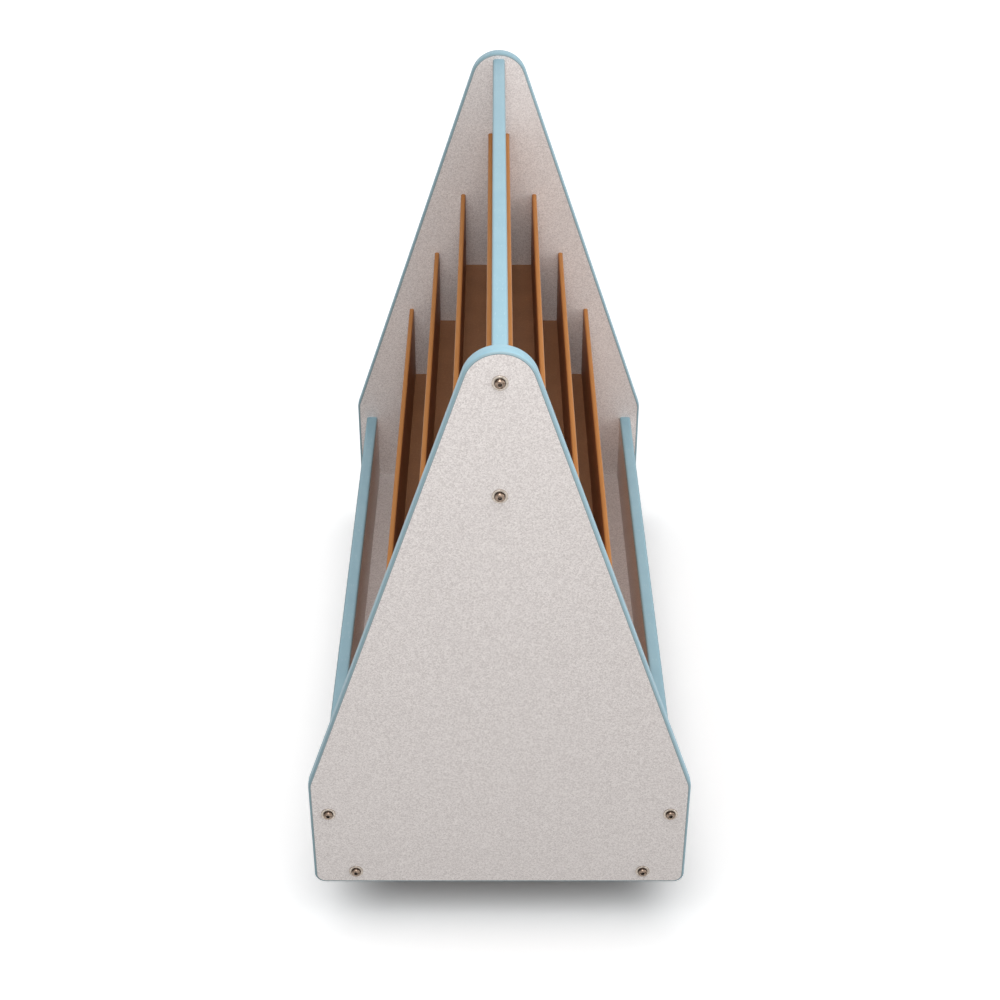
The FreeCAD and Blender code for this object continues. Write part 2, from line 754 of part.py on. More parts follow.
def caster_hood(label, x, y, braked):
    """Make the moulded hood: a shell over both wheels, a web between them and a boss for the kingpin."""
    body = new_body(label, x, y)
    hood_width = wheel_outer * 2

    shell = sketch_on(body, "YZ_Plane")
    drop = wheel_radius - size.hood_skirt
    half_chord = Size((hood_radius.number ** 2 - drop.number ** 2) ** 0.5,
                      f"sqrt(({hood_radius.text})^2 - ({drop.text})^2)")
    closed_outline(shell, [
        (size.wheel_trail - half_chord, size.hood_skirt),
        (size.wheel_trail + half_chord, size.hood_skirt, hood_radius, 1),
        (size.wheel_trail, wheel_radius + hood_radius, hood_radius, 1),
    ])
    pad(body, shell, hood_width, side="Symmetric")
    soften(body, "Chamfer", size.hood_edge_chamfer, lambda edge: is_circle(edge, hood_radius))
    boss = sketch_on(body, "XY_Plane", size.boss_bottom)
    circle(boss, ZERO, ZERO, size.kingpin_diameter / 2 + size.boss_wall)
    pad(body, boss, hood_top - size.boss_bottom)

    well = sketch_on(body, "YZ_Plane", wheel_outer)
    circle(well, *axle_place, well_radius)
    wells = [pocket(body, well, wheel_outer - half_web)]
    mirror(body, wells, "YZ_Plane")
    axle_boss = sketch_on(body, "YZ_Plane")
    circle(axle_boss, *axle_place, size.axle_diameter / 2 + size.axle_boss_wall)
    pad(body, axle_boss, size.web_thickness, side="Symmetric")

    kingpin_bore = sketch_on(body, "XY_Plane", hood_top)
    circle(kingpin_bore, ZERO, ZERO, size.kingpin_diameter / 2 + size.pivot_clearance)
    pocket(body, kingpin_bore, size.kingpin_depth + size.kingpin_spare)
    axle_bore = sketch_on(body, "YZ_Plane")
    circle(axle_bore, *axle_place, size.axle_diameter / 2 + size.rivet_clearance)
    pocket(body, axle_bore, size.web_thickness, side="Symmetric")
    if braked:
        brake_cuts(body, hood_width)


def brake_cuts(body, hood_width):
    """Open the back of a hood for the brake pedal, its tongue and its pivot pin."""
    cut_radius = well_radius - size.brake_travel_room
    past_hood = hood_radius * 2
    window = sketch_on(body, "YZ_Plane")
    high = size.pedal_top_angle + size.pedal_gap_angle
    ring_sector(window, cut_radius, past_hood, -size.brake_window_angle, high)
    pocket(body, window, hood_width, side="Symmetric")
    slot = sketch_on(body, "YZ_Plane")
    slot_inner = size.tongue_reach - size.brake_travel_room
    slot_low = size.tongue_low_angle - size.brake_slot_angle
    ring_sector(slot, slot_inner, well_radius, slot_low, size.pedal_top_angle + size.brake_slot_angle)
    pocket(body, slot, size.tongue_thickness + size.tongue_clearance * 2, side="Symmetric")
    pin_hole = sketch_on(body, "YZ_Plane")
    circle(pin_hole, *about_axle(size.brake_pin_reach, size.brake_pin_angle), size.brake_pin_diameter / 2)
    pocket(body, pin_hole, size.web_thickness, side="Symmetric")


def brake_pedal(label, x, y):
    """Make the brake pedal: a shoe that carries on the hood's curve, a foot tab and a pivot tongue."""
    body = new_body(label, x, y)
    shoe = sketch_on(body, "YZ_Plane")
    toe = about_axle(well_radius, size.pedal_low_angle)
    tab_root = about_axle(hood_radius, size.pedal_tab_angle)
    tab_end = tab_root[0] + size.pedal_tab_length
    closed_outline(shoe, [
        toe,
        (tab_root[0], toe[1]),
        (tab_end, tab_root[1] - size.pedal_tab_thickness),
        (tab_end, tab_root[1]),
        (*tab_root, hood_radius, 1),
        about_axle(hood_radius, size.pedal_top_angle),
        (*about_axle(well_radius, size.pedal_top_angle), well_radius, -1),
    ])
    pad(body, shoe, size.pedal_width, side="Symmetric")
    tongue = sketch_on(body, "YZ_Plane")
    into_shoe = well_radius + size.hood_wall / 2
    ring_sector(tongue, size.tongue_reach, into_shoe, size.tongue_low_angle, size.pedal_top_angle)
    pad(body, tongue, size.tongue_thickness, side="Symmetric")
    pivot = sketch_on(body, "YZ_Plane")
    pivot_radius = size.brake_pin_diameter / 2 + size.pivot_clearance
    circle(pivot, *about_axle(size.brake_pin_reach, size.brake_pin_angle), pivot_radius)
    pocket(body, pivot, size.tongue_thickness, side="Symmetric")


def brake_pin(label, x, y):
    """Make the pin that the brake pedal turns on."""
    body = new_body(label, x, y)
    sketch = sketch_on(body, "YZ_Plane")
    place = about_axle(size.brake_pin_reach, size.brake_pin_angle)
    circle(sketch, *place, size.brake_pin_diameter / 2 - size.rivet_clearance)
    pad(body, sketch, size.web_thickness, side="Symmetric")


def caster_axle(label, x, y):
    """Make the axle, pressed through the hood's web, with chamfered ends."""
    body = new_body(label, x, y)
    sketch = sketch_on(body, "YZ_Plane")
    circle(sketch, *axle_place, size.axle_diameter / 2)
    pad(body, sketch, axle_half_length * 2, side="Symmetric")
    soften(body, "Chamfer", size.axle_chamfer, lambda edge: is_circle(edge, size.axle_diameter / 2))


def caster_wheel(label, x, y, side):
    """Make one wheel: a turned rim, dished disc and blind hub, with ribs across its outer face."""
    body = new_body(label, x, y + axle_place[0], axle_place[1])
    inner = wheel_inner * side
    outer = wheel_outer * side
    bore = size.axle_diameter / 2 + size.pivot_clearance
    bore_end = (axle_half_length + size.axle_end_gap) * side
    hub = size.hub_diameter / 2
    rim = wheel_radius - size.wheel_rim
    shoulder = wheel_radius - size.wheel_chamfer
    face = (wheel_outer - size.wheel_face_recess) * side
    back = (wheel_outer - size.wheel_face_recess - size.wheel_disc) * side
    cap = (wheel_outer - size.hub_face_recess) * side
    profile = sketch_on(body, "XY_Plane")
    closed_outline(profile, [
        (inner, bore),
        (inner, hub),
        (back, hub),
        (back, rim),
        (inner, rim),
        (inner, shoulder),
        (inner + size.wheel_chamfer * side, wheel_radius),
        (outer - size.wheel_chamfer * side, wheel_radius),
        (outer, shoulder),
        (outer, rim),
        (face, rim),
        (face, hub),
        (cap, hub),
        (cap, ZERO),
        (bore_end, ZERO),
        (bore_end, bore),
    ])
    turned = body.newObject("PartDesign::Revolution", f"{body.Name}_turned")
    turned.Profile = profile
    turned.ReferenceAxis = (profile, ["H_Axis"])
    doc.recompute()

    rib = sketch_on(body, "YZ_Plane", face)
    overlap = size.rib_width / 2
    rectangle(rib, -size.rib_width / 2, hub - overlap, size.rib_width, rim - hub + overlap * 2)
    raised = pad(body, rib, size.rib_height, reverse=side < 0)
    spokes = body.newObject("PartDesign::PolarPattern", f"{body.Name}_ribs")
    spokes.Originals = [raised]
    spokes.Axis = (profile, ["H_Axis"])
    spokes.setExpression("Occurrences", size.rib_count.text)
    body.Tip = spokes
    doc.recompute()


# The stand, piece by piece
for end_name, end in ENDS.items():
    end_panel(f"{end_name}_end_panel", end)
    end_band(f"{end_name}_end_band", end)
    end_bolts(f"{end_name}_end_bolts", end)
    end_washers(f"{end_name}_end_washers", end)
    end_nuts(f"{end_name}_end_nuts", end)
    end_dowels(f"{end_name}_end_dowels", end)

banded_board("centre_rail", ZERO, rail_bottom, rail_top, rail_bolts, [], -1)
for side_name, side in SIDES.items():
    bolts = lip_bolts[:1] if side < 0 else lip_bolts[1:]
    dowels = dowel_places[:1] if side < 0 else dowel_places[1:]
    banded_board(f"{side_name}_lip", lip_middle * side, size.base_raise, lip_top, bolts, dowels, -side)
base_board()

for side_name, side in SIDES.items():
    for tier in range(TOP_TIER, LOWEST_TIER + 1):
        tier_back(f"{side_name}_tier_back_{tier}", side, tier)
for floor in tier_floors():
    tier_floor(*floor)

caster_kingpins()
caster_screws()
for caster, (x, y) in caster_places().items():
    braked = caster.startswith("near")
    caster_plate(f"{caster}_caster_plate", x, y)
    caster_hood(f"{caster}_caster_hood", x, y, braked)
    caster_axle(f"{caster}_caster_axle", x, y)
    for side_name, side in SIDES.items():
        caster_wheel(f"{caster}_caster_{side_name}_wheel", x, y, side)
    if braked:
        brake_pedal(f"{caster}_brake_pedal", x, y)
        brake_pin(f"{caster}_brake_pin", x, y)

doc.recompute()
for item in doc.Objects:
    if {"Invalid", "Error"} & set(item.State):
        raise RuntimeError(f"{item.Label} failed: {item.State}")
for piece in pieces:
    if piece.Shape.isNull() or not piece.Shape.isValid():
        raise RuntimeError(f"{piece.Label} has no valid shape")

os.makedirs("parts", exist_ok=True)
for piece in pieces:
    piece.Shape.exportStep(f"parts/{piece.Label}.step")
    print(piece.Label, len(piece.Shape.Solids), round(piece.Shape.Volume, 1))
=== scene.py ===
# %% [markdown]
# A two-sided rolling display stand: two tapered end panels of grey laminated board, edged in blue,
# carry a centre rail, two low lips and four steps of brown hardboard a side, and it stands on casters.
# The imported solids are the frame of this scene. Boards whose solid is already right keep it and only get
# a finish. Edge bands, fasteners and casters are drawn again with finer surfaces in the same places.

import math

import bmesh
import bpy
import numpy as np
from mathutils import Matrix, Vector


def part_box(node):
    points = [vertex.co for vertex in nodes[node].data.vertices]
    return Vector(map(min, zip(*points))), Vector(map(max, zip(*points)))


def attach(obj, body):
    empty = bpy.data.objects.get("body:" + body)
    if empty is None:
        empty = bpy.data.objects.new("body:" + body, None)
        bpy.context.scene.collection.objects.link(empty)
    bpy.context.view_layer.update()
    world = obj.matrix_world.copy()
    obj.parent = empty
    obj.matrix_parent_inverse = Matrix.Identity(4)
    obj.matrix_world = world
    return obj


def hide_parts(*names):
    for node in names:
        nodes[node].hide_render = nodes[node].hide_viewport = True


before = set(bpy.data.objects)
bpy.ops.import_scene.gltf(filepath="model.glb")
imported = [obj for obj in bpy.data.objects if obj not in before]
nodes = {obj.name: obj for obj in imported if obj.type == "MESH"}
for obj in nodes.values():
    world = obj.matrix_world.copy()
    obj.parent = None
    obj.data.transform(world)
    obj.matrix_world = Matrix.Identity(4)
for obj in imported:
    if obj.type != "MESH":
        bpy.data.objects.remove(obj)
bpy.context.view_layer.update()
MM = 0.001

# %% [markdown]
# The camera comes first, because everything else is judged through it. Straight edges of known length fix
# where it stood: almost on the centre line, in front of the near panel and looking down by a little more
# than a third of a right angle. The focal length is known in pixels of a square image, so it is scaled to
# the sensor.

# %% Camera
IMAGE_SIZE = 1000
SENSOR_WIDTH = 36.0
FOCAL_PIXELS = 1729.2
CENTRE_PIXEL = (496.07, 482.0)
CAMERA_PLACE = (-3.73 * MM, -1827.8 * MM, 1511.2 * MM)
LOOKING_DOWN = math.radians(32.946)
NEAREST_SEEN = 10 * MM

camera_data = bpy.data.cameras.new("camera")
camera_data.sensor_width = SENSOR_WIDTH
camera_data.lens = SENSOR_WIDTH * FOCAL_PIXELS / IMAGE_SIZE
camera_data.shift_x = 0.5 - CENTRE_PIXEL[0] / IMAGE_SIZE
camera_data.shift_y = CENTRE_PIXEL[1] / IMAGE_SIZE - 0.5
camera_data.clip_start = NEAREST_SEEN
camera = bpy.data.objects.new("camera", camera_data)
camera.location = CAMERA_PLACE
camera.rotation_euler = (math.pi / 2 - LOOKING_DOWN, 0, 0)
scene = bpy.context.scene
scene.collection.objects.link(camera)
scene.camera = camera
scene.view_settings.view_transform = "Standard"
print("lens in mm:", round(camera_data.lens, 2))

# %% [markdown]
# A shader works in linear light, and a colour is easiest to read as the sRGB hex value that a screen shows.
# One function turns the one into the other. A second adds any node, sets it and links it, so that a
# material reads as a list of what feeds what. Two more start a finish and close it.


# %% Colours and nodes
def linear(hex_colour):
    """Linear RGBA of an sRGB hex colour: the lowest values over 12.92, the rest to the power 2.4."""
    value = np.array([int(hex_colour[start:start + 2], 16) for start in (1, 3, 5)]) / 255
    light = np.where(value <= 0.04045, value / 12.92, ((value + 0.055) / 1.055) ** 2.4)
    return (*light.tolist(), 1.0)


def add(tree, kind, values=None, links=None, **settings):
    """Add a node with its settings, socket values and links, and return it."""
    item = tree.nodes.new(kind)
    for name, setting in settings.items():
        setattr(item, name, setting)
    for socket, value in (values or {}).items():
        item.inputs[socket].default_value = value
    for socket, output in (links or {}).items():
        tree.links.new(output, item.inputs[socket])
    return item


def new_finish(name, **shine):
    """Start a material with its uniform shader values, and return it, its node tree and its shader."""
    finish = bpy.data.materials.new(name)
    finish.use_nodes = True
    shader = finish.node_tree.nodes["Principled BSDF"]
    for socket, value in shine.items():
        shader.inputs[socket.replace("_", " ").title().replace("Ior", "IOR")].default_value = value
    return finish, finish.node_tree, shader


def close_finish(tree, shader, colour, roughness, relief):
    """Link the outputs that give a finish its colour, roughness and relief to its shader."""
    tree.links.new(colour, shader.inputs["Base Color"])
    tree.links.new(roughness, shader.inputs["Roughness"])
    tree.links.new(relief, shader.inputs["Normal"])


# Sockets of a Mix node: its factor, two numbers, two colours, and the colour that comes out
FACTOR, FIRST_NUMBER, SECOND_NUMBER, FIRST, SECOND, BLEND = 0, 2, 3, 6, 7, 2
print("mid grey in linear light:", round(linear("#808080")[0], 3))

# %% [markdown]
# The floor is plain and white to the camera, and in what metal and gloss reflect. To the light that bounces
# about it is a mid grey, as a studio floor is, so that it doesn't brighten the lower edges from below. It
# still takes the soft shadow of the stand. Two plain diffuse coats are added where it is seen, so that the
# open floor is fully white and only the shadow is grey.

# %% Floor and world
FLOOR_RADIUS = 20.0
FLOOR_SIDES = 64
FLOOR_COAT = "#A0A0A0"
FLOOR_BOUNCE = "#A09B96"
WORLD_LIGHT = "#F6F8FA"
WORLD_STRENGTH = 0.23
WHITE = "#FFFFFF"


def seen_rays(tree):
    """1 for rays that show a surface: from the camera, off gloss or through glass. 0 for bounced light."""
    path = add(tree, "ShaderNodeLightPath")
    gloss = add(tree, "ShaderNodeMath", operation="MAXIMUM", links={
        0: path.outputs["Is Camera Ray"], 1: path.outputs["Is Glossy Ray"]})
    return add(tree, "ShaderNodeMath", operation="MAXIMUM", links={
        0: gloss.outputs[0], 1: path.outputs["Is Transmission Ray"]}).outputs[0]


angle = np.linspace(0, 2 * np.pi, FLOOR_SIDES, endpoint=False)
rim = np.stack([np.cos(angle), np.sin(angle), np.zeros_like(angle)], axis=1) * FLOOR_RADIUS
floor_mesh = bpy.data.meshes.new("floor")
floor_mesh.from_pydata(rim.tolist(), [], [list(range(len(rim)))])
floor = bpy.data.objects.new("floor", floor_mesh)
scene.collection.objects.link(floor)
floor_finish, tree, shader = new_finish("white_studio_floor")
tree.nodes.remove(shader)
first_coat = add(tree, "ShaderNodeBsdfDiffuse", {"Color": linear(WHITE)})
second_coat = add(tree, "ShaderNodeBsdfDiffuse", {"Color": linear(FLOOR_COAT)})
coats = add(tree, "ShaderNodeAddShader", links={0: first_coat.outputs[0], 1: second_coat.outputs[0]})
bounce = add(tree, "ShaderNodeBsdfDiffuse", {"Color": linear(FLOOR_BOUNCE)})
choice = add(tree, "ShaderNodeMixShader", links={
    0: seen_rays(tree), 1: bounce.outputs[0], 2: coats.outputs[0]})
tree.links.new(choice.outputs[0], tree.nodes["Material Output"].inputs["Surface"])
floor_mesh.materials.append(floor_finish)

world = bpy.data.worlds.new("studio")
scene.world = world
world.use_nodes = True
tree = world.node_tree
background = tree.nodes["Background"]
background.inputs["Color"].default_value = linear(WORLD_LIGHT)
background.inputs["Strength"].default_value = WORLD_STRENGTH
white = add(tree, "ShaderNodeBackground", {"Color": linear(WHITE), "Strength": 1.0})
choice = add(tree, "ShaderNodeMixShader", links={
    0: seen_rays(tree), 1: background.outputs[0], 2: white.outputs[0]})
tree.links.new(choice.outputs[0], tree.nodes["World Output"].inputs["Surface"])
print("floor radius in m:", FLOOR_RADIUS)

# %% [markdown]
# The light is a wide soft box in front, a long one overhead and three wide lights: from the sky, from the
# right and, weakly, from behind. The long box hangs over the near end and is narrow, so that its light falls
# deep into the tiers. Both boxes are close, so the light fades down the panel and along the rail. They would
# leave the outer floor grey, so the floor has a wide, even light of its own from above instead. The strengths
# add up so that a colour comes out about as it is written.

# %% Lamps
AIM = Vector((0, -0.2, 0.45))
# Place, width and length in metres, power in watts, and colour
SOFT_BOXES = {
    "front_box": ((-0.1, -2.2, 1.60), 1.6, 1.2, 13.5, "#FFFDFB"),
    "overhead_box": ((-0.05, -0.80, 1.75), 0.45, 1.4, 8.5, "#FFFFFF"),
}
# Direction that the light comes from, strength, and width of its disc in degrees
WIDE_LIGHTS = {
    "sky_light": ((0.5, -0.35, 1.0), 1.08, 125),
    "side_light": ((1.0, -0.10, 0.35), 1.05, 60),
    "back_light": ((-0.3, 0.8, 0.5), 0.40, 70),
    "floor_light": ((-0.09, -0.10, 1.0), 2.08, 92),
}
not_floor = bpy.data.collections.new("not_floor")
not_floor.objects.link(floor)
not_floor.collection_objects[0].light_linking.link_state = "EXCLUDE"
only_floor = bpy.data.collections.new("only_floor")
only_floor.objects.link(floor)


def place_lamp(name, kind, place, aim, energy, receivers):
    """Add a lamp that shines from its place towards its aim, on the objects that its list allows."""
    lamp = bpy.data.lights.new(name, kind)
    lamp.energy = energy
    holder = bpy.data.objects.new(name, lamp)
    holder.location = place
    holder.rotation_euler = (Vector(place) - Vector(aim)).to_track_quat("Z", "Y").to_euler()
    holder.light_linking.receiver_collection = receivers
    scene.collection.objects.link(holder)
    return lamp


for name, (place, width, length, power, colour) in SOFT_BOXES.items():
    lamp = place_lamp(name, "AREA", place, AIM, power, not_floor)
    lamp.shape = "ELLIPSE"
    lamp.size, lamp.size_y = width, length
    lamp.color = linear(colour)[:3]
for name, (place, strength, disc) in WIDE_LIGHTS.items():
    lamp = place_lamp(name, "SUN", place, (0, 0, 0), strength, only_floor if "floor" in name else not_floor)
    lamp.angle = math.radians(disc)
print("lamps:", [*SOFT_BOXES, *WIDE_LIGHTS])

# %% [markdown]
# Things that are handled wear at their edges first. To find the edges, the shader rounds the surface's normal
# over a small radius and compares it with the true one. Where the two part, there is an edge. Wear could also
# be painted by hand, but then it has to be painted again whenever a shape changes. A cloudy noise breaks the
# line up, because nothing wears evenly.


# %% Worn edges
def worn_edges(tree, place, radius, patch):
    """Share of wear: 1 - cosine of the turn of a normal rounded over the radius, in patches of that size."""
    rounded = add(tree, "ShaderNodeBevel", {"Radius": radius}, samples=6)
    true = add(tree, "ShaderNodeNewGeometry")
    turn = add(tree, "ShaderNodeVectorMath", links={0: rounded.outputs[0], 1: true.outputs["Normal"]},
               operation="DOT_PRODUCT")
    edge = add(tree, "ShaderNodeMapRange", {"From Min": 0.99, "From Max": 0.80},
               {"Value": turn.outputs["Value"]})
    cloud = add(tree, "ShaderNodeTexNoise", {"Scale": 1 / patch, "Detail": 3.0}, {"Vector": place})
    broken = add(tree, "ShaderNodeMapRange", {"From Min": 0.35, "From Max": 0.65},
                 {"Value": cloud.outputs[0]})
    return add(tree, "ShaderNodeMath", links={0: edge.outputs[0], 1: broken.outputs[0]},
               operation="MULTIPLY").outputs[0]


# %% [markdown]
# High-pressure laminate: printed paper in resin, pressed against a fine-grained plate. The print is a close
# speckle of warm grey grains, each a little lighter or darker than the next. Cells with a random tone make
# such grains, where plain noise would run together into patches. Their borders are bent by a finer noise,
# and a second, smaller grain lies between them. The pressed texture makes the sheen soft and broken.

# %% Laminate
GRAIN_DARK = "#C7C0BE"
GRAIN_LIGHT = "#F8F3F1"
GRAIN = 1.15 * MM
GRAIN_BEND = 0.55 * MM
FINE_GRAIN = 0.5 * MM
FINE_SHARE = 0.3
PRESSED = 0.9 * MM
PRESSED_DEPTH = 0.06 * MM

laminate, tree, shader = new_finish("speckled_grey_laminate", IOR=1.5)
place = add(tree, "ShaderNodeTexCoord").outputs["Object"]
bend = add(tree, "ShaderNodeTexNoise", {"Scale": 1 / GRAIN_BEND, "Detail": 1.0}, {"Vector": place})
bent = add(tree, "ShaderNodeVectorMath", {1: (GRAIN_BEND,) * 3}, {0: bend.outputs["Color"], 2: place},
           operation="MULTIPLY_ADD")
grain = add(tree, "ShaderNodeTexVoronoi", {"Scale": 1 / GRAIN}, {"Vector": bent.outputs[0]})
fine = add(tree, "ShaderNodeTexVoronoi", {"Scale": 1 / FINE_GRAIN}, {"Vector": bent.outputs[0]})
tone = add(tree, "ShaderNodeSeparateColor", links={0: grain.outputs["Color"]})
fine_tone = add(tree, "ShaderNodeSeparateColor", links={0: fine.outputs["Color"]})
share = add(tree, "ShaderNodeMix", {FACTOR: FINE_SHARE},
            {FIRST_NUMBER: tone.outputs[0], SECOND_NUMBER: fine_tone.outputs[0]}, data_type="FLOAT")
print_tone = add(tree, "ShaderNodeMix", {FIRST: linear(GRAIN_DARK), SECOND: linear(GRAIN_LIGHT)},
                 {FACTOR: share.outputs[0]}, data_type="RGBA")
pressed = add(tree, "ShaderNodeTexNoise", {"Scale": 1 / PRESSED, "Detail": 1.0}, {"Vector": place})
bump = add(tree, "ShaderNodeBump", {"Strength": 0.25, "Distance": PRESSED_DEPTH},
           {"Height": pressed.outputs[0]})
gloss = add(tree, "ShaderNodeMapRange", {"To Min": 0.42, "To Max": 0.58}, {"Value": pressed.outputs[0]})
close_finish(tree, shader, print_tone.outputs[BLEND], gloss.outputs[0], bump.outputs[0])
print("finish:", laminate.name)

# %% [markdown]
# The edge band is a strip of extruded PVC, 3.2 mm thick, glued round the edge of the board and scraped to
# a full round at both arrises. The arrises get painted shade, darker and greyer than the face, as rounds
# turned from the light would be. Hands leave pale scuffs, and the glue shows as a thin dark line where the
# band meets the laminate. The pattern follows the strip, so it reads the strip's own map: metres along it
# and metres across it from the nearer glue line.

# %% Colours of the edge band
BAND_SHADE = "#86ADBD"
BAND_PALE = "#95BAC7"
# Painted shade on the arris: darker and greyer than the face
ARRIS_SHADE = "#8AA5AE"
SCUFFED = "#C3D8DF"
GLUE_LINE = "#5F6C72"
BAND_ROUND = 2.8 * MM
ARRIS_FADE = (1.35 * BAND_ROUND, 0.7 * BAND_ROUND)
GLUE_WIDTH = 0.35 * MM
GLUE_FADE = (1.6 * GLUE_WIDTH, 0.6 * GLUE_WIDTH)
SCUFF_LENGTH = 9 * MM
SCUFF_WIDTH = 1.6 * MM
BAND_CLOUD = 25 * MM

edge_band, tree, shader = new_finish("blue_pvc_edge_band", IOR=1.53)
strip = add(tree, "ShaderNodeUVMap", uv_map="strip").outputs["UV"]
across = add(tree, "ShaderNodeSeparateXYZ", links={"Vector": strip}).outputs["Y"]
place = add(tree, "ShaderNodeTexCoord").outputs["Object"]
cloud = add(tree, "ShaderNodeTexNoise", {"Scale": 1 / BAND_CLOUD, "Detail": 2.0}, {"Vector": place})
face = add(tree, "ShaderNodeMix", {FIRST: linear(BAND_SHADE), SECOND: linear(BAND_PALE)},
           {FACTOR: cloud.outputs[0]}, data_type="RGBA")
stroke = add(tree, "ShaderNodeMapping", {"Scale": (1 / SCUFF_LENGTH, 1 / SCUFF_WIDTH, 1)},
             {"Vector": strip})
scuff = add(tree, "ShaderNodeTexNoise", {"Scale": 1.0, "Detail": 4.0}, {"Vector": stroke.outputs[0]})
rubbed = add(tree, "ShaderNodeMapRange", {"From Min": 0.60, "From Max": 0.78, "To Max": 0.5},
             {"Value": scuff.outputs[0]})
handled = add(tree, "ShaderNodeMix", {SECOND: linear(SCUFFED)},
              {FACTOR: rubbed.outputs[0], FIRST: face.outputs[BLEND]}, data_type="RGBA")
arris = add(tree, "ShaderNodeMapRange", {"From Min": ARRIS_FADE[0], "From Max": ARRIS_FADE[1]},
            {"Value": across}, interpolation_type="SMOOTHSTEP")
# Painted shade over the rounded arrises
arris_shaded = add(tree, "ShaderNodeMix", {SECOND: linear(ARRIS_SHADE)},
                {FACTOR: arris.outputs[0], FIRST: handled.outputs[BLEND]}, data_type="RGBA")
glued = add(tree, "ShaderNodeMapRange", {"From Min": GLUE_FADE[0], "From Max": GLUE_FADE[1]},
            {"Value": across}, interpolation_type="SMOOTHSTEP")
edged = add(tree, "ShaderNodeMix", {SECOND: linear(GLUE_LINE)},
            {FACTOR: glued.outputs[0], FIRST: arris_shaded.outputs[BLEND]}, data_type="RGBA")
print("colours of", edge_band.name, "in nodes:", len(tree.nodes))

# %% [markdown]
# The die of the extruder leaves fine lines along the face of the band, and the scraper leaves faint chatter
# across the arrises, which are duller too. Both are too shallow to model, so they are a relief in the finish,
# and the same share that colours the arris chooses between them.

# %% Relief and sheen of the edge band
DIE_LINE = 0.5 * MM
CHATTER = 1.6 * MM
BAND_RELIEF = 0.05 * MM
SCRAPED_ROUGHNESS = 0.6

along = add(tree, "ShaderNodeMapping", {"Scale": (1 / BAND_CLOUD, 1 / DIE_LINE, 1)}, {"Vector": strip})
lines = add(tree, "ShaderNodeTexNoise", {"Scale": 1.0, "Detail": 2.0}, {"Vector": along.outputs[0]})
ridged = add(tree, "ShaderNodeMapping", {"Scale": (1 / CHATTER, 1 / BAND_CLOUD, 1)}, {"Vector": strip})
chatter = add(tree, "ShaderNodeTexNoise", {"Scale": 1.0, "Detail": 1.0}, {"Vector": ridged.outputs[0]})
relief = add(tree, "ShaderNodeMix", links={
    FACTOR: arris.outputs[0], FIRST_NUMBER: lines.outputs[0], SECOND_NUMBER: chatter.outputs[0]},
    data_type="FLOAT")
bump = add(tree, "ShaderNodeBump", {"Strength": 0.15, "Distance": BAND_RELIEF}, {"Height": relief.outputs[0]})
sheen = add(tree, "ShaderNodeMapRange", {"To Min": 0.34, "To Max": 0.50}, {"Value": lines.outputs[0]})
gloss = add(tree, "ShaderNodeMix", {SECOND_NUMBER: SCRAPED_ROUGHNESS},
            {FACTOR: arris.outputs[0], FIRST_NUMBER: sheen.outputs[0]}, data_type="FLOAT")
close_finish(tree, shader, edged.outputs[BLEND], gloss.outputs[0], bump.outputs[0])
print("finish:", edge_band.name)

# %% [markdown]
# Hardboard is wood fibre pressed hot into a sheet, 6.35 mm thick. Its fibres are short and lie every way in
# the face. Noise that is stretched one way makes strands that lie alike, so three turns of it are laid over
# each other, and the strongest strand shows. Real fibres are a tenth of a millimetre wide, too fine to show,
# so they are drawn coarser here.

# %% Fibres of hardboard
FIBRE_LENGTH = 5.0 * MM
FIBRE_WIDTH = 0.7 * MM
FIBRE_TURNS = (0.3, 1.4, 2.4)


def fibres(tree, place, face_axis):
    """Strength of the fibres: the largest of several noises, each stretched and turned its own way."""
    strongest = None
    for turn in FIBRE_TURNS:
        lying = add(tree, "ShaderNodeMapping", {
            "Rotation": [turn if axis == face_axis else 0 for axis in "XYZ"],
            "Scale": (FIBRE_WIDTH, FIBRE_LENGTH, FIBRE_WIDTH)}, {"Vector": place}, vector_type="TEXTURE")
        strand = add(tree, "ShaderNodeTexNoise", {"Scale": 1.0, "Detail": 2.0}, {"Vector": lying.outputs[0]})
        strongest = strand if strongest is None else add(
            tree, "ShaderNodeMath", operation="MAXIMUM",
            links={0: strongest.outputs[0], 1: strand.outputs[0]})
    return strongest.outputs[0]


# %% [markdown]
# The faces of a hardboard sheet are smooth, brown and slightly shiny. A sawn edge is paler and duller, with
# the layers of the sheet as fine lines along it. Which one shows is told by the direction that the surface
# faces: the faces of an upright sheet look sideways, and those of a level one look up or down. Where hands
# reach over an upper edge, its arrises are rubbed paler still.

# %% Hardboard finishes
FACE_BROWN = "#AE7850"
FACE_DARK = "#90603D"
FIBRE_PALE = "#C8986C"
EDGE_TAN = "#C88848"
EDGE_DARK = "#A06630"
RUBBED_TAN = "#DCAC78"
SHEET_LAYER = 0.7 * MM
PRESS_CLOUD = 40 * MM
RUB_REACH = 1.0 * MM
RUB_PATCH = 30 * MM
FIBRE_DEPTH = 0.08 * MM


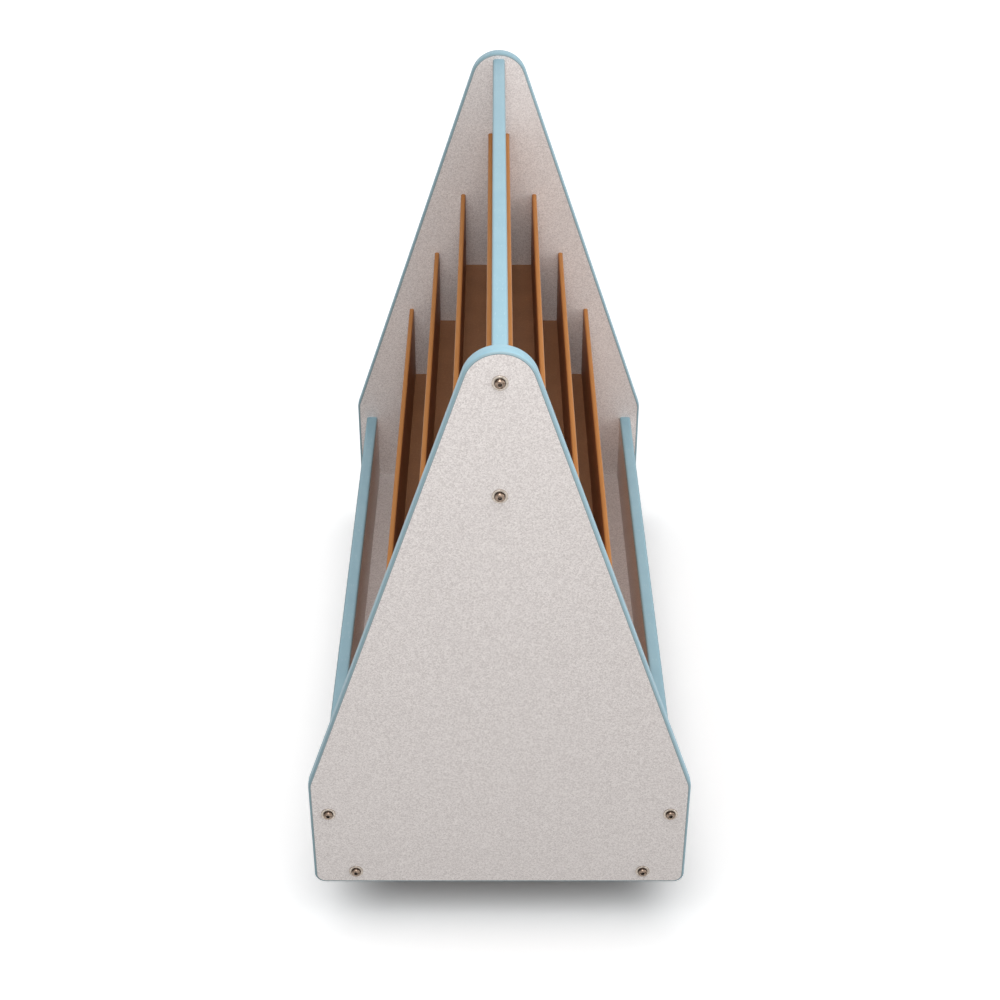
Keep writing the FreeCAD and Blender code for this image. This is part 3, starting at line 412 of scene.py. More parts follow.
def hardboard(name, face_axis):
    """Hardboard whose faces look along one axis of the part: X for upright sheets, Z for level ones."""
    finish, tree, shader = new_finish(name, IOR=1.5)
    here = add(tree, "ShaderNodeTexCoord")
    place = here.outputs["Object"]
    fibre = fibres(tree, place, face_axis)
    pale = add(tree, "ShaderNodeMapRange", {"From Min": 0.58, "From Max": 0.76, "To Max": 0.5},
               {"Value": fibre})
    cloud = add(tree, "ShaderNodeTexNoise", {"Scale": 1 / PRESS_CLOUD, "Detail": 3.0}, {"Vector": place})
    ground = add(tree, "ShaderNodeMix", {FIRST: linear(FACE_DARK), SECOND: linear(FACE_BROWN)},
                 {FACTOR: cloud.outputs[0]}, data_type="RGBA")
    face = add(tree, "ShaderNodeMix", {SECOND: linear(FIBRE_PALE)},
               {FACTOR: pale.outputs[0], FIRST: ground.outputs[BLEND]}, data_type="RGBA")
    layers = add(tree, "ShaderNodeMapping", {"Scale": (1 / SHEET_LAYER, 1 / PRESS_CLOUD, 1 / SHEET_LAYER)},
                 {"Vector": place})
    sawn = add(tree, "ShaderNodeTexNoise", {"Scale": 1.0, "Detail": 3.0}, {"Vector": layers.outputs[0]})
    edge = add(tree, "ShaderNodeMix", {FIRST: linear(EDGE_DARK), SECOND: linear(EDGE_TAN)},
               {FACTOR: sawn.outputs[0]}, data_type="RGBA")
    facing = add(tree, "ShaderNodeSeparateXYZ", links={"Vector": here.outputs["Normal"]}).outputs[face_axis]
    flat = add(tree, "ShaderNodeMath", links={0: facing}, operation="ABSOLUTE")
    is_edge = add(tree, "ShaderNodeMapRange", {"From Min": 0.95, "From Max": 0.75},
                  {"Value": flat.outputs[0]}, interpolation_type="SMOOTHSTEP")
    sheet = add(tree, "ShaderNodeMix", data_type="RGBA", links={
        FACTOR: is_edge.outputs[0], FIRST: face.outputs[BLEND], SECOND: edge.outputs[BLEND]})
    rubbed = worn_edges(tree, place, RUB_REACH, RUB_PATCH)
    colour = add(tree, "ShaderNodeMix", {SECOND: linear(RUBBED_TAN)},
                 {FACTOR: rubbed, FIRST: sheet.outputs[BLEND]}, data_type="RGBA")
    gloss = add(tree, "ShaderNodeMapRange", {"To Min": 0.50, "To Max": 0.80}, {"Value": is_edge.outputs[0]})
    bump = add(tree, "ShaderNodeBump", {"Strength": 0.3, "Distance": FIBRE_DEPTH}, {"Height": fibre})
    close_finish(tree, shader, colour.outputs[BLEND], gloss.outputs[0], bump.outputs[0])
    return finish


upright_hardboard = hardboard("upright_hardboard", "X")
level_hardboard = hardboard("level_hardboard", "Z")
print("finishes:", upright_hardboard.name, level_hardboard.name)

# %% [markdown]
# Three plated steels differ in tint and in how bright the plating is: warm nickel on the bolts, paler nickel
# on the washers, and bluish zinc under the stand. All three start as turned or stamped steel, so each has
# fine scratches that break up its reflections, and dulled patches where fingers and tools have been. Tools
# and feet polish the edges bright again, and on the bolts this bright edge is widened into a painted
# highlight round the socket. Sockets, slots and corners get painted shade where little open sky reaches them,
# and the flanks of the bolt heads get painted shade as a darker reflection. What they share is one
# function, and what tells them apart is what it is given.

# %% Plated steels
SCRATCH = 0.35 * MM
SCRATCH_DEPTH = 0.02 * MM
DULL_PATCH = 3.0 * MM
# Polished metal of worn edges; on the bolts it also makes a painted highlight
POLISHED_EDGE_AND_GLINT = "#DAD8D4"
# Painted shade: its dark colour, and the reach within which nearby surfaces darken a recess or corner
PAINTED_SHADE = "#2A201A"
SHADE_REACH = 5.0 * MM
EDGE_WEAR = 0.3 * MM
# On the bolts the worn edge is widened, so that besides wear it paints a bright highlight ring round the
# socket
BOLT_WEAR_AND_GLINT = 0.9 * MM


def plated_steel(name, bright, dull, smooth, rough, worn=EDGE_WEAR, flank_shade=0.0):
    """Plated steel: two tones and two degrees of polish, mixed by cloudy patches, with fine scratches.

    Worn is how far wear reaches from an edge. Flank shade is the share of painted shade on flanks, a darker
    reflection painted by how far a surface turns away from the Y axis of the bolts. Recesses that see little
    open sky get painted shade as well.
    """
    finish, tree, shader = new_finish(name, metallic=1.0)
    here = add(tree, "ShaderNodeTexCoord")
    place = here.outputs["Object"]
    patch = add(tree, "ShaderNodeTexNoise", {"Scale": 1 / DULL_PATCH, "Detail": 3.0}, {"Vector": place})
    dulled = add(tree, "ShaderNodeMapRange", {"From Min": 0.42, "From Max": 0.68},
                 {"Value": patch.outputs[0]})
    plate = add(tree, "ShaderNodeMix", {FIRST: linear(bright), SECOND: linear(dull)},
                {FACTOR: dulled.outputs[0]}, data_type="RGBA")
    bare_and_glint = add(tree, "ShaderNodeMix", {SECOND: linear(POLISHED_EDGE_AND_GLINT)},
               {FACTOR: worn_edges(tree, place, worn, DULL_PATCH), FIRST: plate.outputs[BLEND]},
               data_type="RGBA")
    # Painted shade: recesses and corners that see little open sky are darkened towards the shade colour
    open_sky = add(tree, "ShaderNodeAmbientOcclusion", {"Distance": SHADE_REACH}, samples=8)
    shaded_hollow = add(tree, "ShaderNodeMapRange", {"From Min": 0.75, "From Max": 0.35},
                 {"Value": open_sky.outputs["AO"]})
    facing = add(tree, "ShaderNodeSeparateXYZ", links={"Vector": here.outputs["Normal"]}).outputs["Y"]
    straight = add(tree, "ShaderNodeMath", links={0: facing}, operation="ABSOLUTE")
    # Painted shade on the flanks of the bolt heads, in place of a darker reflection
    shaded_flank = add(tree, "ShaderNodeMapRange", {"From Min": 0.85, "From Max": 0.35, "To Max": flank_shade},
                {"Value": straight.outputs[0]})
    shade_share = add(tree, "ShaderNodeMath", operation="MAXIMUM",
                 links={0: shaded_hollow.outputs[0], 1: shaded_flank.outputs[0]})
    tone = add(tree, "ShaderNodeMix", {SECOND: linear(PAINTED_SHADE)},
               {FACTOR: shade_share.outputs[0], FIRST: bare_and_glint.outputs[BLEND]}, data_type="RGBA")
    polish = add(tree, "ShaderNodeMapRange", {"To Min": smooth, "To Max": rough},
                 {"Value": dulled.outputs[0]})
    scratch = add(tree, "ShaderNodeTexNoise", {"Scale": 1 / SCRATCH, "Detail": 2.0}, {"Vector": place})
    bump = add(tree, "ShaderNodeBump", {"Strength": 0.12, "Distance": SCRATCH_DEPTH},
               {"Height": scratch.outputs[0]})
    close_finish(tree, shader, tone.outputs[BLEND], polish.outputs[0], bump.outputs[0])
    return finish


# The bolts get dark flanks as painted shade, and a wide bright edge as a painted highlight besides wear
bolt_nickel = plated_steel("warm_nickel_plate", "#948274", "#5E4E42", 0.05, 0.14, BOLT_WEAR_AND_GLINT, flank_shade=0.9)
washer_nickel = plated_steel("pale_nickel_plate", "#C4BAAF", "#A0958A", 0.28, 0.42)
zinc_plate = plated_steel("bright_zinc_plate", "#C6CBD0", "#9FA6AC", 0.26, 0.46)
print("finishes:", bolt_nickel.name, washer_nickel.name, zinc_plate.name)

# %% [markdown]
# Casters of this size are moulded in nylon. The mould is spark-eroded, which leaves an even fine grain of
# about half a millimetre, and nylon shows it with a soft sheen. Treads pick up dust and scuffs from the
# floor, so the tone goes greyer in patches, and the edges that shoes and door sills hit go grey first.

# %% Moulded nylons
MOULD_GRAIN = 0.6 * MM
MOULD_DEPTH = 0.05 * MM
SCUFF = 7.0 * MM
KNOCK_REACH = 0.8 * MM


def moulded_nylon(name, colour, scuffed, wear):
    """Nylon of one colour, greyed by cloudy scuffs to the share that wear gives, with a moulded grain."""
    finish, tree, shader = new_finish(name, IOR=1.53)
    place = add(tree, "ShaderNodeTexCoord").outputs["Object"]
    grain = add(tree, "ShaderNodeTexNoise", {"Scale": 1 / MOULD_GRAIN, "Detail": 1.0}, {"Vector": place})
    rubbed = add(tree, "ShaderNodeTexNoise", {"Scale": 1 / SCUFF, "Detail": 4.0}, {"Vector": place})
    share = add(tree, "ShaderNodeMapRange", {"From Min": 0.45, "From Max": 0.75, "To Max": wear},
                {"Value": rubbed.outputs[0]})
    knocked = worn_edges(tree, place, KNOCK_REACH, SCUFF)
    worn = add(tree, "ShaderNodeMath", links={0: share.outputs[0], 1: knocked}, operation="MAXIMUM")
    tone = add(tree, "ShaderNodeMix", {FIRST: linear(colour), SECOND: linear(scuffed)},
               {FACTOR: worn.outputs[0]}, data_type="RGBA")
    gloss = add(tree, "ShaderNodeMapRange", {"To Min": 0.38, "To Max": 0.58}, {"Value": grain.outputs[0]})
    bump = add(tree, "ShaderNodeBump", {"Strength": 0.2, "Distance": MOULD_DEPTH},
               {"Height": grain.outputs[0]})
    close_finish(tree, shader, tone.outputs[BLEND], gloss.outputs[0], bump.outputs[0])
    return finish


hood_nylon = moulded_nylon("black_moulded_nylon", "#1D1D1F", "#3A3A3B", 0.35)
wheel_nylon = moulded_nylon("scuffed_wheel_nylon", "#26262A", "#6A6865", 0.7)
pedal_nylon = moulded_nylon("grey_moulded_nylon", "#3C3D40", "#5E5F61", 0.4)
print("finishes:", hood_nylon.name, wheel_nylon.name, pedal_nylon.name)

# %% [markdown]
# Dowels are turned from beech: pale, with the dark flecks of its rays lying along the grain. Noise that is
# stretched along the dowel gives such flecks. Beech shows its growth rings only faintly, so a pattern of
# rings, as for pine, would look wrong here.

# %% Beech
BEECH = "#D9B58A"
BEECH_RAY = "#A9784A"
RAY_LENGTH = 2.5 * MM
RAY_WIDTH = 0.4 * MM
RAY_DEPTH = 0.05 * MM

beech, tree, shader = new_finish("turned_beech", IOR=1.5)
place = add(tree, "ShaderNodeTexCoord").outputs["Object"]
lying = add(tree, "ShaderNodeMapping", {"Scale": (1 / RAY_WIDTH, 1 / RAY_LENGTH, 1 / RAY_WIDTH)},
            {"Vector": place})
rays = add(tree, "ShaderNodeTexNoise", {"Scale": 1.0, "Detail": 2.0}, {"Vector": lying.outputs[0]})
dark = add(tree, "ShaderNodeMapRange", {"From Min": 0.58, "From Max": 0.72}, {"Value": rays.outputs[0]})
tone = add(tree, "ShaderNodeMix", {FIRST: linear(BEECH), SECOND: linear(BEECH_RAY)},
           {FACTOR: dark.outputs[0]}, data_type="RGBA")
gloss = add(tree, "ShaderNodeMapRange", {"To Min": 0.55, "To Max": 0.75}, {"Value": rays.outputs[0]})
bump = add(tree, "ShaderNodeBump", {"Strength": 0.3, "Distance": RAY_DEPTH}, {"Height": rays.outputs[0]})
close_finish(tree, shader, tone.outputs[BLEND], gloss.outputs[0], bump.outputs[0])
print("finish:", beech.name)

# %% [markdown]
# The solids that stay get their finishes here. Each could be given its own by name, but the names already
# say what a piece is, so a list of words does for all of them. The last word in the list that fits is the one
# that counts, which is how the band of a panel gets its PVC and not the laminate of the panel.

# %% Finishes of the solids
BY_WORD = {
    "panel": laminate, "rail": laminate, "lip": laminate, "base_board": laminate,
    "tier_back": upright_hardboard, "tier_floor": level_hardboard,
    "bolts": bolt_nickel, "washers": washer_nickel,
    "nuts": zinc_plate, "plate": zinc_plate, "kingpins": zinc_plate, "screws": zinc_plate, "axle": zinc_plate,
    "pin": zinc_plate, "hood": hood_nylon, "wheel": wheel_nylon, "pedal": pedal_nylon, "dowels": beech,
    "band": edge_band,
}
for name, node in nodes.items():
    finish = next(finish for word, finish in reversed(BY_WORD.items()) if word in name)
    node.data.materials.clear()
    node.data.materials.append(finish)
print("solids with a finish:", len(nodes))

# %% [markdown]
# Every new piece is a grid of points worked out as one array. One function joins neighbouring points into
# quads, welds the seams and poles where points meet, and turns the faces outwards. Another hands the piece
# over to the part: which body it moves with, whose finish it takes and which solids it stands for.

# %% From grids to pieces
WELD = 1e-7
SHARP = math.radians(38)


def hand_over(name, mesh, finish, body, replaced):
    """Smooth a mesh except across its sharp edges, give it a finish, and make it a piece of the part."""
    mesh.shade_smooth()
    mesh.set_sharp_from_angle(angle=SHARP)
    mesh.materials.append(finish)
    item = bpy.data.objects.new(name, mesh)
    scene.collection.objects.link(item)
    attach(item, body)
    if replaced:
        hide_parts(*replaced)
    print(name, "faces:", len(mesh.polygons))
    return item


def piece(name, grids, finish, body, replaced, maps=None):
    """Make one piece of grids, each rows x columns x 3 in metres, with an optional map of UVs per grid.

    Point (row, column) of a grid and its next neighbours along the row and the column are a quad.
    """
    points, quads, start = [], [], 0
    for grid in grids:
        rows, columns = grid.shape[:2]
        row, column = np.meshgrid(np.arange(rows - 1), np.arange(columns - 1), indexing="ij")
        corner = (row * columns + column + start).ravel()
        quads.append(np.stack([corner, corner + 1, corner + columns + 1, corner + columns], axis=1))
        points.append(grid.reshape(-1, 3))
        start += rows * columns
    mesh = bpy.data.meshes.new(name)
    mesh.from_pydata(np.concatenate(points).tolist(), [], np.concatenate(quads).tolist())
    if maps:
        flat = np.concatenate([values.reshape(-1, 2) for values in maps])
        layer = mesh.uv_layers.new(name="strip")
        corners = np.empty(len(mesh.loops), dtype=np.int32)
        mesh.loops.foreach_get("vertex_index", corners)
        layer.data.foreach_set("uv", flat[corners].astype(np.float32).ravel())
    shell = bmesh.new()
    shell.from_mesh(mesh)
    bmesh.ops.remove_doubles(shell, verts=shell.verts, dist=WELD)
    bmesh.ops.recalc_face_normals(shell, faces=shell.faces)
    shell.to_mesh(mesh)
    shell.free()
    hand_over(name, mesh, finish, body, replaced)


# %% [markdown]
# The band's section is a flat strip with rounded arrises and a face that swells by a fifth of a millimetre,
# as extruded strip does. It is a closed profile, ready to be carried along the edge of a board. A curve with
# a bevel object would give the same shape, but not a map in metres, which the finish of the strip needs.

# %% Section of the edge band
BAND_WIDTH = 15.9 * MM
BAND_THICKNESS = 3.2 * MM
BAND_CROWN = 0.2 * MM
ARRIS_POINTS = 7
FACE_POINTS = 11


def band_section(width):
    """Closed section of the band as depth inwards and place across: front, round, face, round and back.

    The rounds are quarters of a circle. The face lies lower by the crown times the square of the distance
    from its middle, as a share of half the width.
    """
    quarter = np.linspace(0, np.pi / 2, ARRIS_POINTS)
    middle = np.linspace(BAND_ROUND, width - BAND_ROUND, FACE_POINTS)[1:-1]
    swell = BAND_CROWN * (2 * middle / width - 1) ** 2
    edge_depth = BAND_CROWN + BAND_ROUND
    depth = np.concatenate([
        [BAND_THICKNESS], edge_depth - BAND_ROUND * np.sin(quarter), swell,
        edge_depth - BAND_ROUND * np.sin(quarter[::-1]), [BAND_THICKNESS, BAND_THICKNESS]])
    across = np.concatenate([
        [0], BAND_ROUND - BAND_ROUND * np.cos(quarter), middle,
        width - BAND_ROUND + BAND_ROUND * np.cos(quarter[::-1]), [width, 0]])
    return depth, across


def lengths(points):
    """Distance along a polyline at each of its points: the running sum of the steps."""
    steps = np.linalg.norm(np.diff(points, axis=0), axis=1)
    return np.concatenate([[0], np.cumsum(steps)])


depth, across = band_section(BAND_WIDTH)
print("girth of the section in m:", round(lengths(np.stack([depth, across], axis=1))[-1], 4))

# %% [markdown]
# The feet, shoulders and crown of an end panel are arcs, joined by straight runs. The runs need no points of
# their own: the end of one arc and the start of the next are enough.

# %% Outline of the end panels
FOOT_RADIUS = 12.7 * MM
SHOULDER_RADIUS = 25.4 * MM
CROWN_RADIUS = 38.1 * MM
SIDE_HEIGHT = 144.0 * MM
FOOT_POINTS = 13
SHOULDER_POINTS = 9
CROWN_POINTS = 41
low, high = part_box("near_end_band")
HALF_WIDTH = high.x
PANEL_BOTTOM = low.z
PANEL_TOP = high.z


def panel_outline():
    """Points and outward directions round the panel, seen from the near end, as x, z pairs.

    Five arcs, each a centre plus its radius times the cosine and sine of an angle. The slope touches the
    shoulder and the crown where both face the same way: the angle of the line between their centres, less
    the angle whose cosine is the difference of the radii over the distance of the centres.
    """
    shoulder_x = HALF_WIDTH - SHOULDER_RADIUS
    shoulder_z = PANEL_BOTTOM + SIDE_HEIGHT
    crown_z = PANEL_TOP - CROWN_RADIUS
    foot_x = HALF_WIDTH - FOOT_RADIUS
    foot_z = PANEL_BOTTOM + FOOT_RADIUS
    across, rise = -shoulder_x, crown_z - shoulder_z
    slope = math.atan2(rise, across) - math.acos((SHOULDER_RADIUS - CROWN_RADIUS) / math.hypot(across, rise))
    arcs = [
        (foot_x, foot_z, FOOT_RADIUS, -np.pi / 2, 0.0, FOOT_POINTS),
        (shoulder_x, shoulder_z, SHOULDER_RADIUS, 0.0, slope, SHOULDER_POINTS),
        (0.0, crown_z, CROWN_RADIUS, slope, np.pi - slope, CROWN_POINTS),
        (-shoulder_x, shoulder_z, SHOULDER_RADIUS, np.pi - slope, np.pi, SHOULDER_POINTS),
        (-foot_x, foot_z, FOOT_RADIUS, np.pi, 1.5 * np.pi, FOOT_POINTS),
    ]
    turns = [np.linspace(start, end, count) for *_, start, end, count in arcs]
    outwards = np.concatenate([np.stack([np.cos(turn), np.sin(turn)], axis=1) for turn in turns])
    centres = np.concatenate([np.tile([x, z], (len(turn), 1)) for (x, z, *_), turn in zip(arcs, turns)])
    radii = np.concatenate([np.full((len(turn), 1), arc[2]) for arc, turn in zip(arcs, turns)])
    points = centres + outwards * radii
    return np.concatenate([points, points[:1]]), np.concatenate([outwards, outwards[:1]])


outline, outward = panel_outline()
print("outline in m:", round(lengths(outline)[-1], 4))

# %% [markdown]
# The section is swept round the outline, which makes the whole band one closed ring: each point of the
# outline, less its depth along the outward direction, set back across the thickness of the board. The map
# across the strip is folded at its middle, so that both arrises and both glue lines count from the same zero.


# %% Edge bands of the end panels
def strip_map(along, depth, across):
    """Map of a strip: metres along it, and metres across from the nearer glue line, by its girth."""
    girth = lengths(np.stack([depth, across], axis=1))
    # The last point but one is at the second glue line, and the back that follows it is never seen
    second_line = len(depth) - 2
    folded = np.minimum(girth, np.abs(girth[second_line] - girth))
    return np.stack(np.meshgrid(along, folded, indexing="ij"), axis=-1)


for end in ("near", "far"):
    low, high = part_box(f"{end}_end_band")
    face = low.y if end == "near" else high.y
    inward = 1 if end == "near" else -1
    flat = outline[:, None, :] - outward[:, None, :] * depth[None, :, None]
    set_back = np.broadcast_to(face + inward * across, flat.shape[:2])
    ring = np.stack([flat[..., 0], set_back, flat[..., 1]], axis=-1)
    piece(f"{end}_edge_band", [ring], edge_band, "stand", [f"{end}_end_band"],
          [strip_map(lengths(outline), depth, across)])

# %% [markdown]
# The rail and the lips have the same strip on their upper and lower edges. Here the path is a straight run
# between the end panels, so each strip is the section at both ends, closed by a cap that folds in to the
# section's middle.


# %% Edge bands of the rail and the lips
def straight_strip(edge_low, edge_high, up):
    """Strip on a level edge: the section swept along Y between two corners, its face up (1) or down (-1)."""
    places = np.array([edge_low.y, edge_low.y, edge_high.y, edge_high.y])
    x = edge_low.x + across
    outer = edge_high.z if up > 0 else edge_low.z
    z = outer - up * depth
    section = np.stack([x, z], axis=1)
    middle = np.broadcast_to(section.mean(axis=0), section.shape)
    flat = np.stack([middle, section, section, middle])
    run = np.broadcast_to(places[:, None], flat.shape[:2])
    return np.stack([flat[..., 0], run, flat[..., 1]], axis=-1)


for board in ("centre_rail", "left_lip", "right_lip"):
    low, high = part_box(f"{board}_bands")
    span = np.array([0, 0, high.y - low.y, high.y - low.y])
    strips = [straight_strip(low, high, up) for up in (1, -1)]
    piece(f"{board}_edge_bands", strips, edge_band, "stand", [f"{board}_bands"],
          [strip_map(span, depth, across)] * 2)

# %% [markdown]
# Turned pieces are surfaces of revolution: a profile of radius and height carried round an axis. The radius
# may also depend on the angle, which is how a hexagon socket comes into a turned shape, and what the Screw
# modifier can't do. Corners of moulded and pressed pieces are never sharp, so a profile is written as its
# corners and then eased.

# %% Turned shapes
ROUND_STEPS = np.linspace(0, 1, 5)[:, None]
LONGEST_EASE = 0.45


def turned(centre, axis, height, radius, angle):
    """Grid of points: centre + axis x height + (side x cosine + up x sine of the angle) x radius.

    Height, radius and angle are grids of rows and columns, or one row or one column of them.
    """
    axis = np.asarray(axis, float)
    side = np.roll(axis, 1)
    up = np.cross(axis, side)
    height, radius, angle = np.broadcast_arrays(height, radius, angle)
    spoke = np.cos(angle)[..., None] * side + np.sin(angle)[..., None] * up
    return np.asarray(centre) + height[..., None] * axis + radius[..., None] * spoke


def eased(corners):
    """Profile through corners given as (radius, height, ease), in metres, with every corner rounded.

    The round is a quadratic curve between points at the ease before and after the corner, with the corner as
    its control point. The ease is kept under half of the shorter side.
    """
    rows = [np.array(corners[0][:2])[None]]
    for before, here, after in zip(corners, corners[1:], corners[2:]):
        corner = np.array(here[:2])
        back, on = np.array(before[:2]) - corner, np.array(after[:2]) - corner
        reach = min(here[2], LONGEST_EASE * np.linalg.norm(back), LONGEST_EASE * np.linalg.norm(on))
        first = corner + back / np.linalg.norm(back) * reach
        last = corner + on / np.linalg.norm(on) * reach
        rows.append((1 - ROUND_STEPS) ** 2 * first + 2 * ROUND_STEPS * (1 - ROUND_STEPS) * corner
                    + ROUND_STEPS ** 2 * last)
    rows.append(np.array(corners[-1][:2])[None])
    return np.concatenate(rows)


def hexagon(across_flats, angle):
    """Radius of a hexagon at each angle: half its width over the cosine of the angle to the nearest flat."""
    to_flat = (angle % (np.pi / 3)) - np.pi / 6
    return across_flats / 2 / np.cos(to_flat)


# %% [markdown]
# Six bolts hold each end panel: two into the rail, one into each lip and two into the base board. Their
# places could be written down, but they are worked out from the boards that they go into, so that a bolt
# stays in the middle of its board.

# %% Places of the bolts
RAIL_BOLT_INSET = 25.4 * MM
LIP_BOLT_DROP = 22.0 * MM
BASE_BOLT_INSET = 19.05 * MM

rail_low, rail_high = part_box("centre_rail_bands")
lip_low, lip_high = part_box("right_lip_bands")
base_low, base_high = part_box("base_board")
lip_bolt = ((lip_low.x + lip_high.x) / 2, lip_high.z - LIP_BOLT_DROP)
base_bolt = (base_high.x - BASE_BOLT_INSET, (base_low.z + base_high.z) / 2)
RAIL_BOLTS = [(0.0, rail_high.z - RAIL_BOLT_INSET), (0.0, rail_low.z + RAIL_BOLT_INSET)]
LIP_BOLTS = [(side * lip_bolt[0], lip_bolt[1]) for side in (-1, 1)]
BASE_BOLTS = [(side * base_bolt[0], base_bolt[1]) for side in (-1, 1)]
BOLT_PLACES = RAIL_BOLTS + LIP_BOLTS + BASE_BOLTS
print("bolts in m:", np.round(BOLT_PLACES, 4).tolist())

# %% [markdown]
# Button-head bolts have a low dome over a short rim, with a hexagon socket. The dome is a quarter of an
# ellipse. The rows of the grid start at the point of the socket, climb its walls, pass over the dome and end
# at the chamfered tip of the shank. Only the rows of the socket take the radius of a hexagon. Cutting the
# socket out with a Boolean can leave long thin faces round it, which catch the light.

# %% Shape of a bolt
HEAD_RADIUS = 5.55 * MM
HEAD_HEIGHT = 3.4 * MM
HEAD_RIM = 0.55 * MM
CROWN_FLAT = 2.55 * MM
SOCKET_WIDTH = 4.0 * MM
SOCKET_DEPTH = 2.0 * MM
SOCKET_POINT = 0.6 * MM
SOCKET_LEAD = 0.2 * MM
SHANK_RADIUS = 3.175 * MM
SHANK_LENGTH = 60.0 * MM
TIP_CHAMFER = 0.8 * MM
DOME_POINTS = 10
BOLT_ANGLES = np.linspace(0, 2 * np.pi, 49)

quarter = np.linspace(0, np.pi / 2, DOME_POINTS)[1:]
dome = np.stack([CROWN_FLAT + (HEAD_RADIUS - CROWN_FLAT) * np.sin(quarter),
                 HEAD_RIM + (HEAD_HEIGHT - HEAD_RIM) * np.cos(quarter)], axis=1)
stem = np.array([
    (HEAD_RADIUS, 0.0), (SHANK_RADIUS, 0.0), (SHANK_RADIUS, TIP_CHAMFER - SHANK_LENGTH),
    (SHANK_RADIUS - TIP_CHAMFER, -SHANK_LENGTH), (0.0, -SHANK_LENGTH)])
outside = np.concatenate([[(CROWN_FLAT, HEAD_HEIGHT)], dome, stem])
socket_radius = np.outer((0.0, 1.0, 1.0), hexagon(SOCKET_WIDTH, BOLT_ANGLES))
socket_floor = HEAD_HEIGHT - SOCKET_DEPTH
socket_height = np.array([socket_floor - SOCKET_POINT, socket_floor, HEAD_HEIGHT - SOCKET_LEAD])
bolt_radius = np.concatenate([socket_radius, np.outer(outside[:, 0], np.ones_like(BOLT_ANGLES))])
bolt_height = np.concatenate([socket_height, outside[:, 1]])[:, None]
print("rows and columns of a bolt:", bolt_radius.shape)

# %% [markdown]
# Each bolt sits on a flat washer, which was stamped from sheet: the press rounds the edges of its upper face.
# The six bolts of an end are one piece, and so are their six washers, as in the solids that they stand for.

# %% Bolts and washers
WASHER_RADIUS = 7.95 * MM
WASHER_HOLE = 3.475 * MM
WASHER_THICKNESS = 1.2 * MM
WASHER_ROUND = 0.4 * MM

washer = eased([
    (WASHER_HOLE, 0, 0), (WASHER_RADIUS, 0, 0), (WASHER_RADIUS, WASHER_THICKNESS, WASHER_ROUND),
    (WASHER_HOLE, WASHER_THICKNESS, WASHER_ROUND), (WASHER_HOLE, 0, 0)])

for end, outwards in (("near", -1), ("far", 1)):
    low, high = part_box(f"{end}_end_panel")
    face = low.y if outwards < 0 else high.y
    axis = (0, outwards, 0)
    heads = [turned((x, face + outwards * WASHER_THICKNESS, z), axis, bolt_height, bolt_radius, BOLT_ANGLES)
             for x, z in BOLT_PLACES]
    rings = [turned((x, face, z), axis, washer[:, 1:], washer[:, :1], BOLT_ANGLES) for x, z in BOLT_PLACES]
    piece(f"{end}_button_bolts", heads, bolt_nickel, "stand", [f"{end}_end_bolts"])
    piece(f"{end}_flat_washers", rings, washer_nickel, "stand", [f"{end}_end_washers"])

# %% [markdown]
# Spokes, slots and cross recesses are all straight bars that cross a turned face. Their sides are parallel,
# so the columns of the grid bend: at a small radius a bar takes up a larger angle. Each bar has a section of
# its own, with a foot, a shoulder and a flat top, and the same section turned down makes a slot.

# %% Bars across a turned face
BAR_OFFSETS = np.array([-1.15, -1.0, -0.75, 0.75, 1.0, 1.15])
BAR_LIFT = np.array([0, 0.85, 1, 1, 0.85, 0])
PLAIN_COLUMNS = 6
WIDEST_BAR = 0.45


def bar_columns(radius, count, half_width):
    """Angles of the columns at each row's radius, and the lift of each column, for evenly turned bars.

    A column of a bar lies at the angle whose sine is its offset over the radius. Near the axis, where the
    bars would meet, that angle stays at its largest. Plain columns are spread evenly between the bars.
    """
    step = 2 * np.pi / count
    offset = BAR_OFFSETS * half_width
    least = offset[-1] / math.sin(WIDEST_BAR * step)
    lean = np.arcsin(offset / np.maximum(radius, least)[:, None])
    free = step - 2 * lean[:, -1:]
    between = lean[:, -1:] + free * np.linspace(0, 1, PLAIN_COLUMNS + 2)[1:-1]
    one = np.concatenate([lean, between], axis=1)
    angle = (np.arange(count)[:, None] * step + one[:, None, :]).reshape(len(radius), -1)
    lift = np.tile(np.concatenate([BAR_LIFT, np.zeros(PLAIN_COLUMNS)]), count)
    return np.concatenate([angle, angle[:, :1] + 2 * np.pi], axis=1), np.append(lift, lift[0])


# %% [markdown]
# A wheel is one nylon moulding: a tread with full rounds, a deep rim, a dished disc and a blind hub, with six
# spokes raised on the outer face. The profile runs from the bottom of the axle hole over the inner face and
# the tread to the cap of the hub. Spokes lift the disc of the outer face, and nothing else.

# %% Shape of a wheel
TREAD_RADIUS = 25.0 * MM
WHEEL_WIDTH = 18.0 * MM
RIM_RADIUS = 20.0 * MM
HUB_RADIUS = 7.0 * MM
AXLE_HOLE = 3.05 * MM
AXLE_HOLE_END = 14.3 * MM
DISC_BACK = 10.0 * MM
DISC_FACE = 14.0 * MM
HUB_CAP = 16.5 * MM
CAP_SWELL = 0.4 * MM
SPOKE_COUNT = 6
SPOKE_HALF_WIDTH = 1.2 * MM
SPOKE_TOP = 16.0 * MM
TREAD_ROUND = 2.4 * MM
RIM_ROUND = 0.6 * MM
DISH_ROUND = 0.9 * MM
PARTING_DEPTH = 0.25 * MM
PARTING_WIDTH = 0.5 * MM

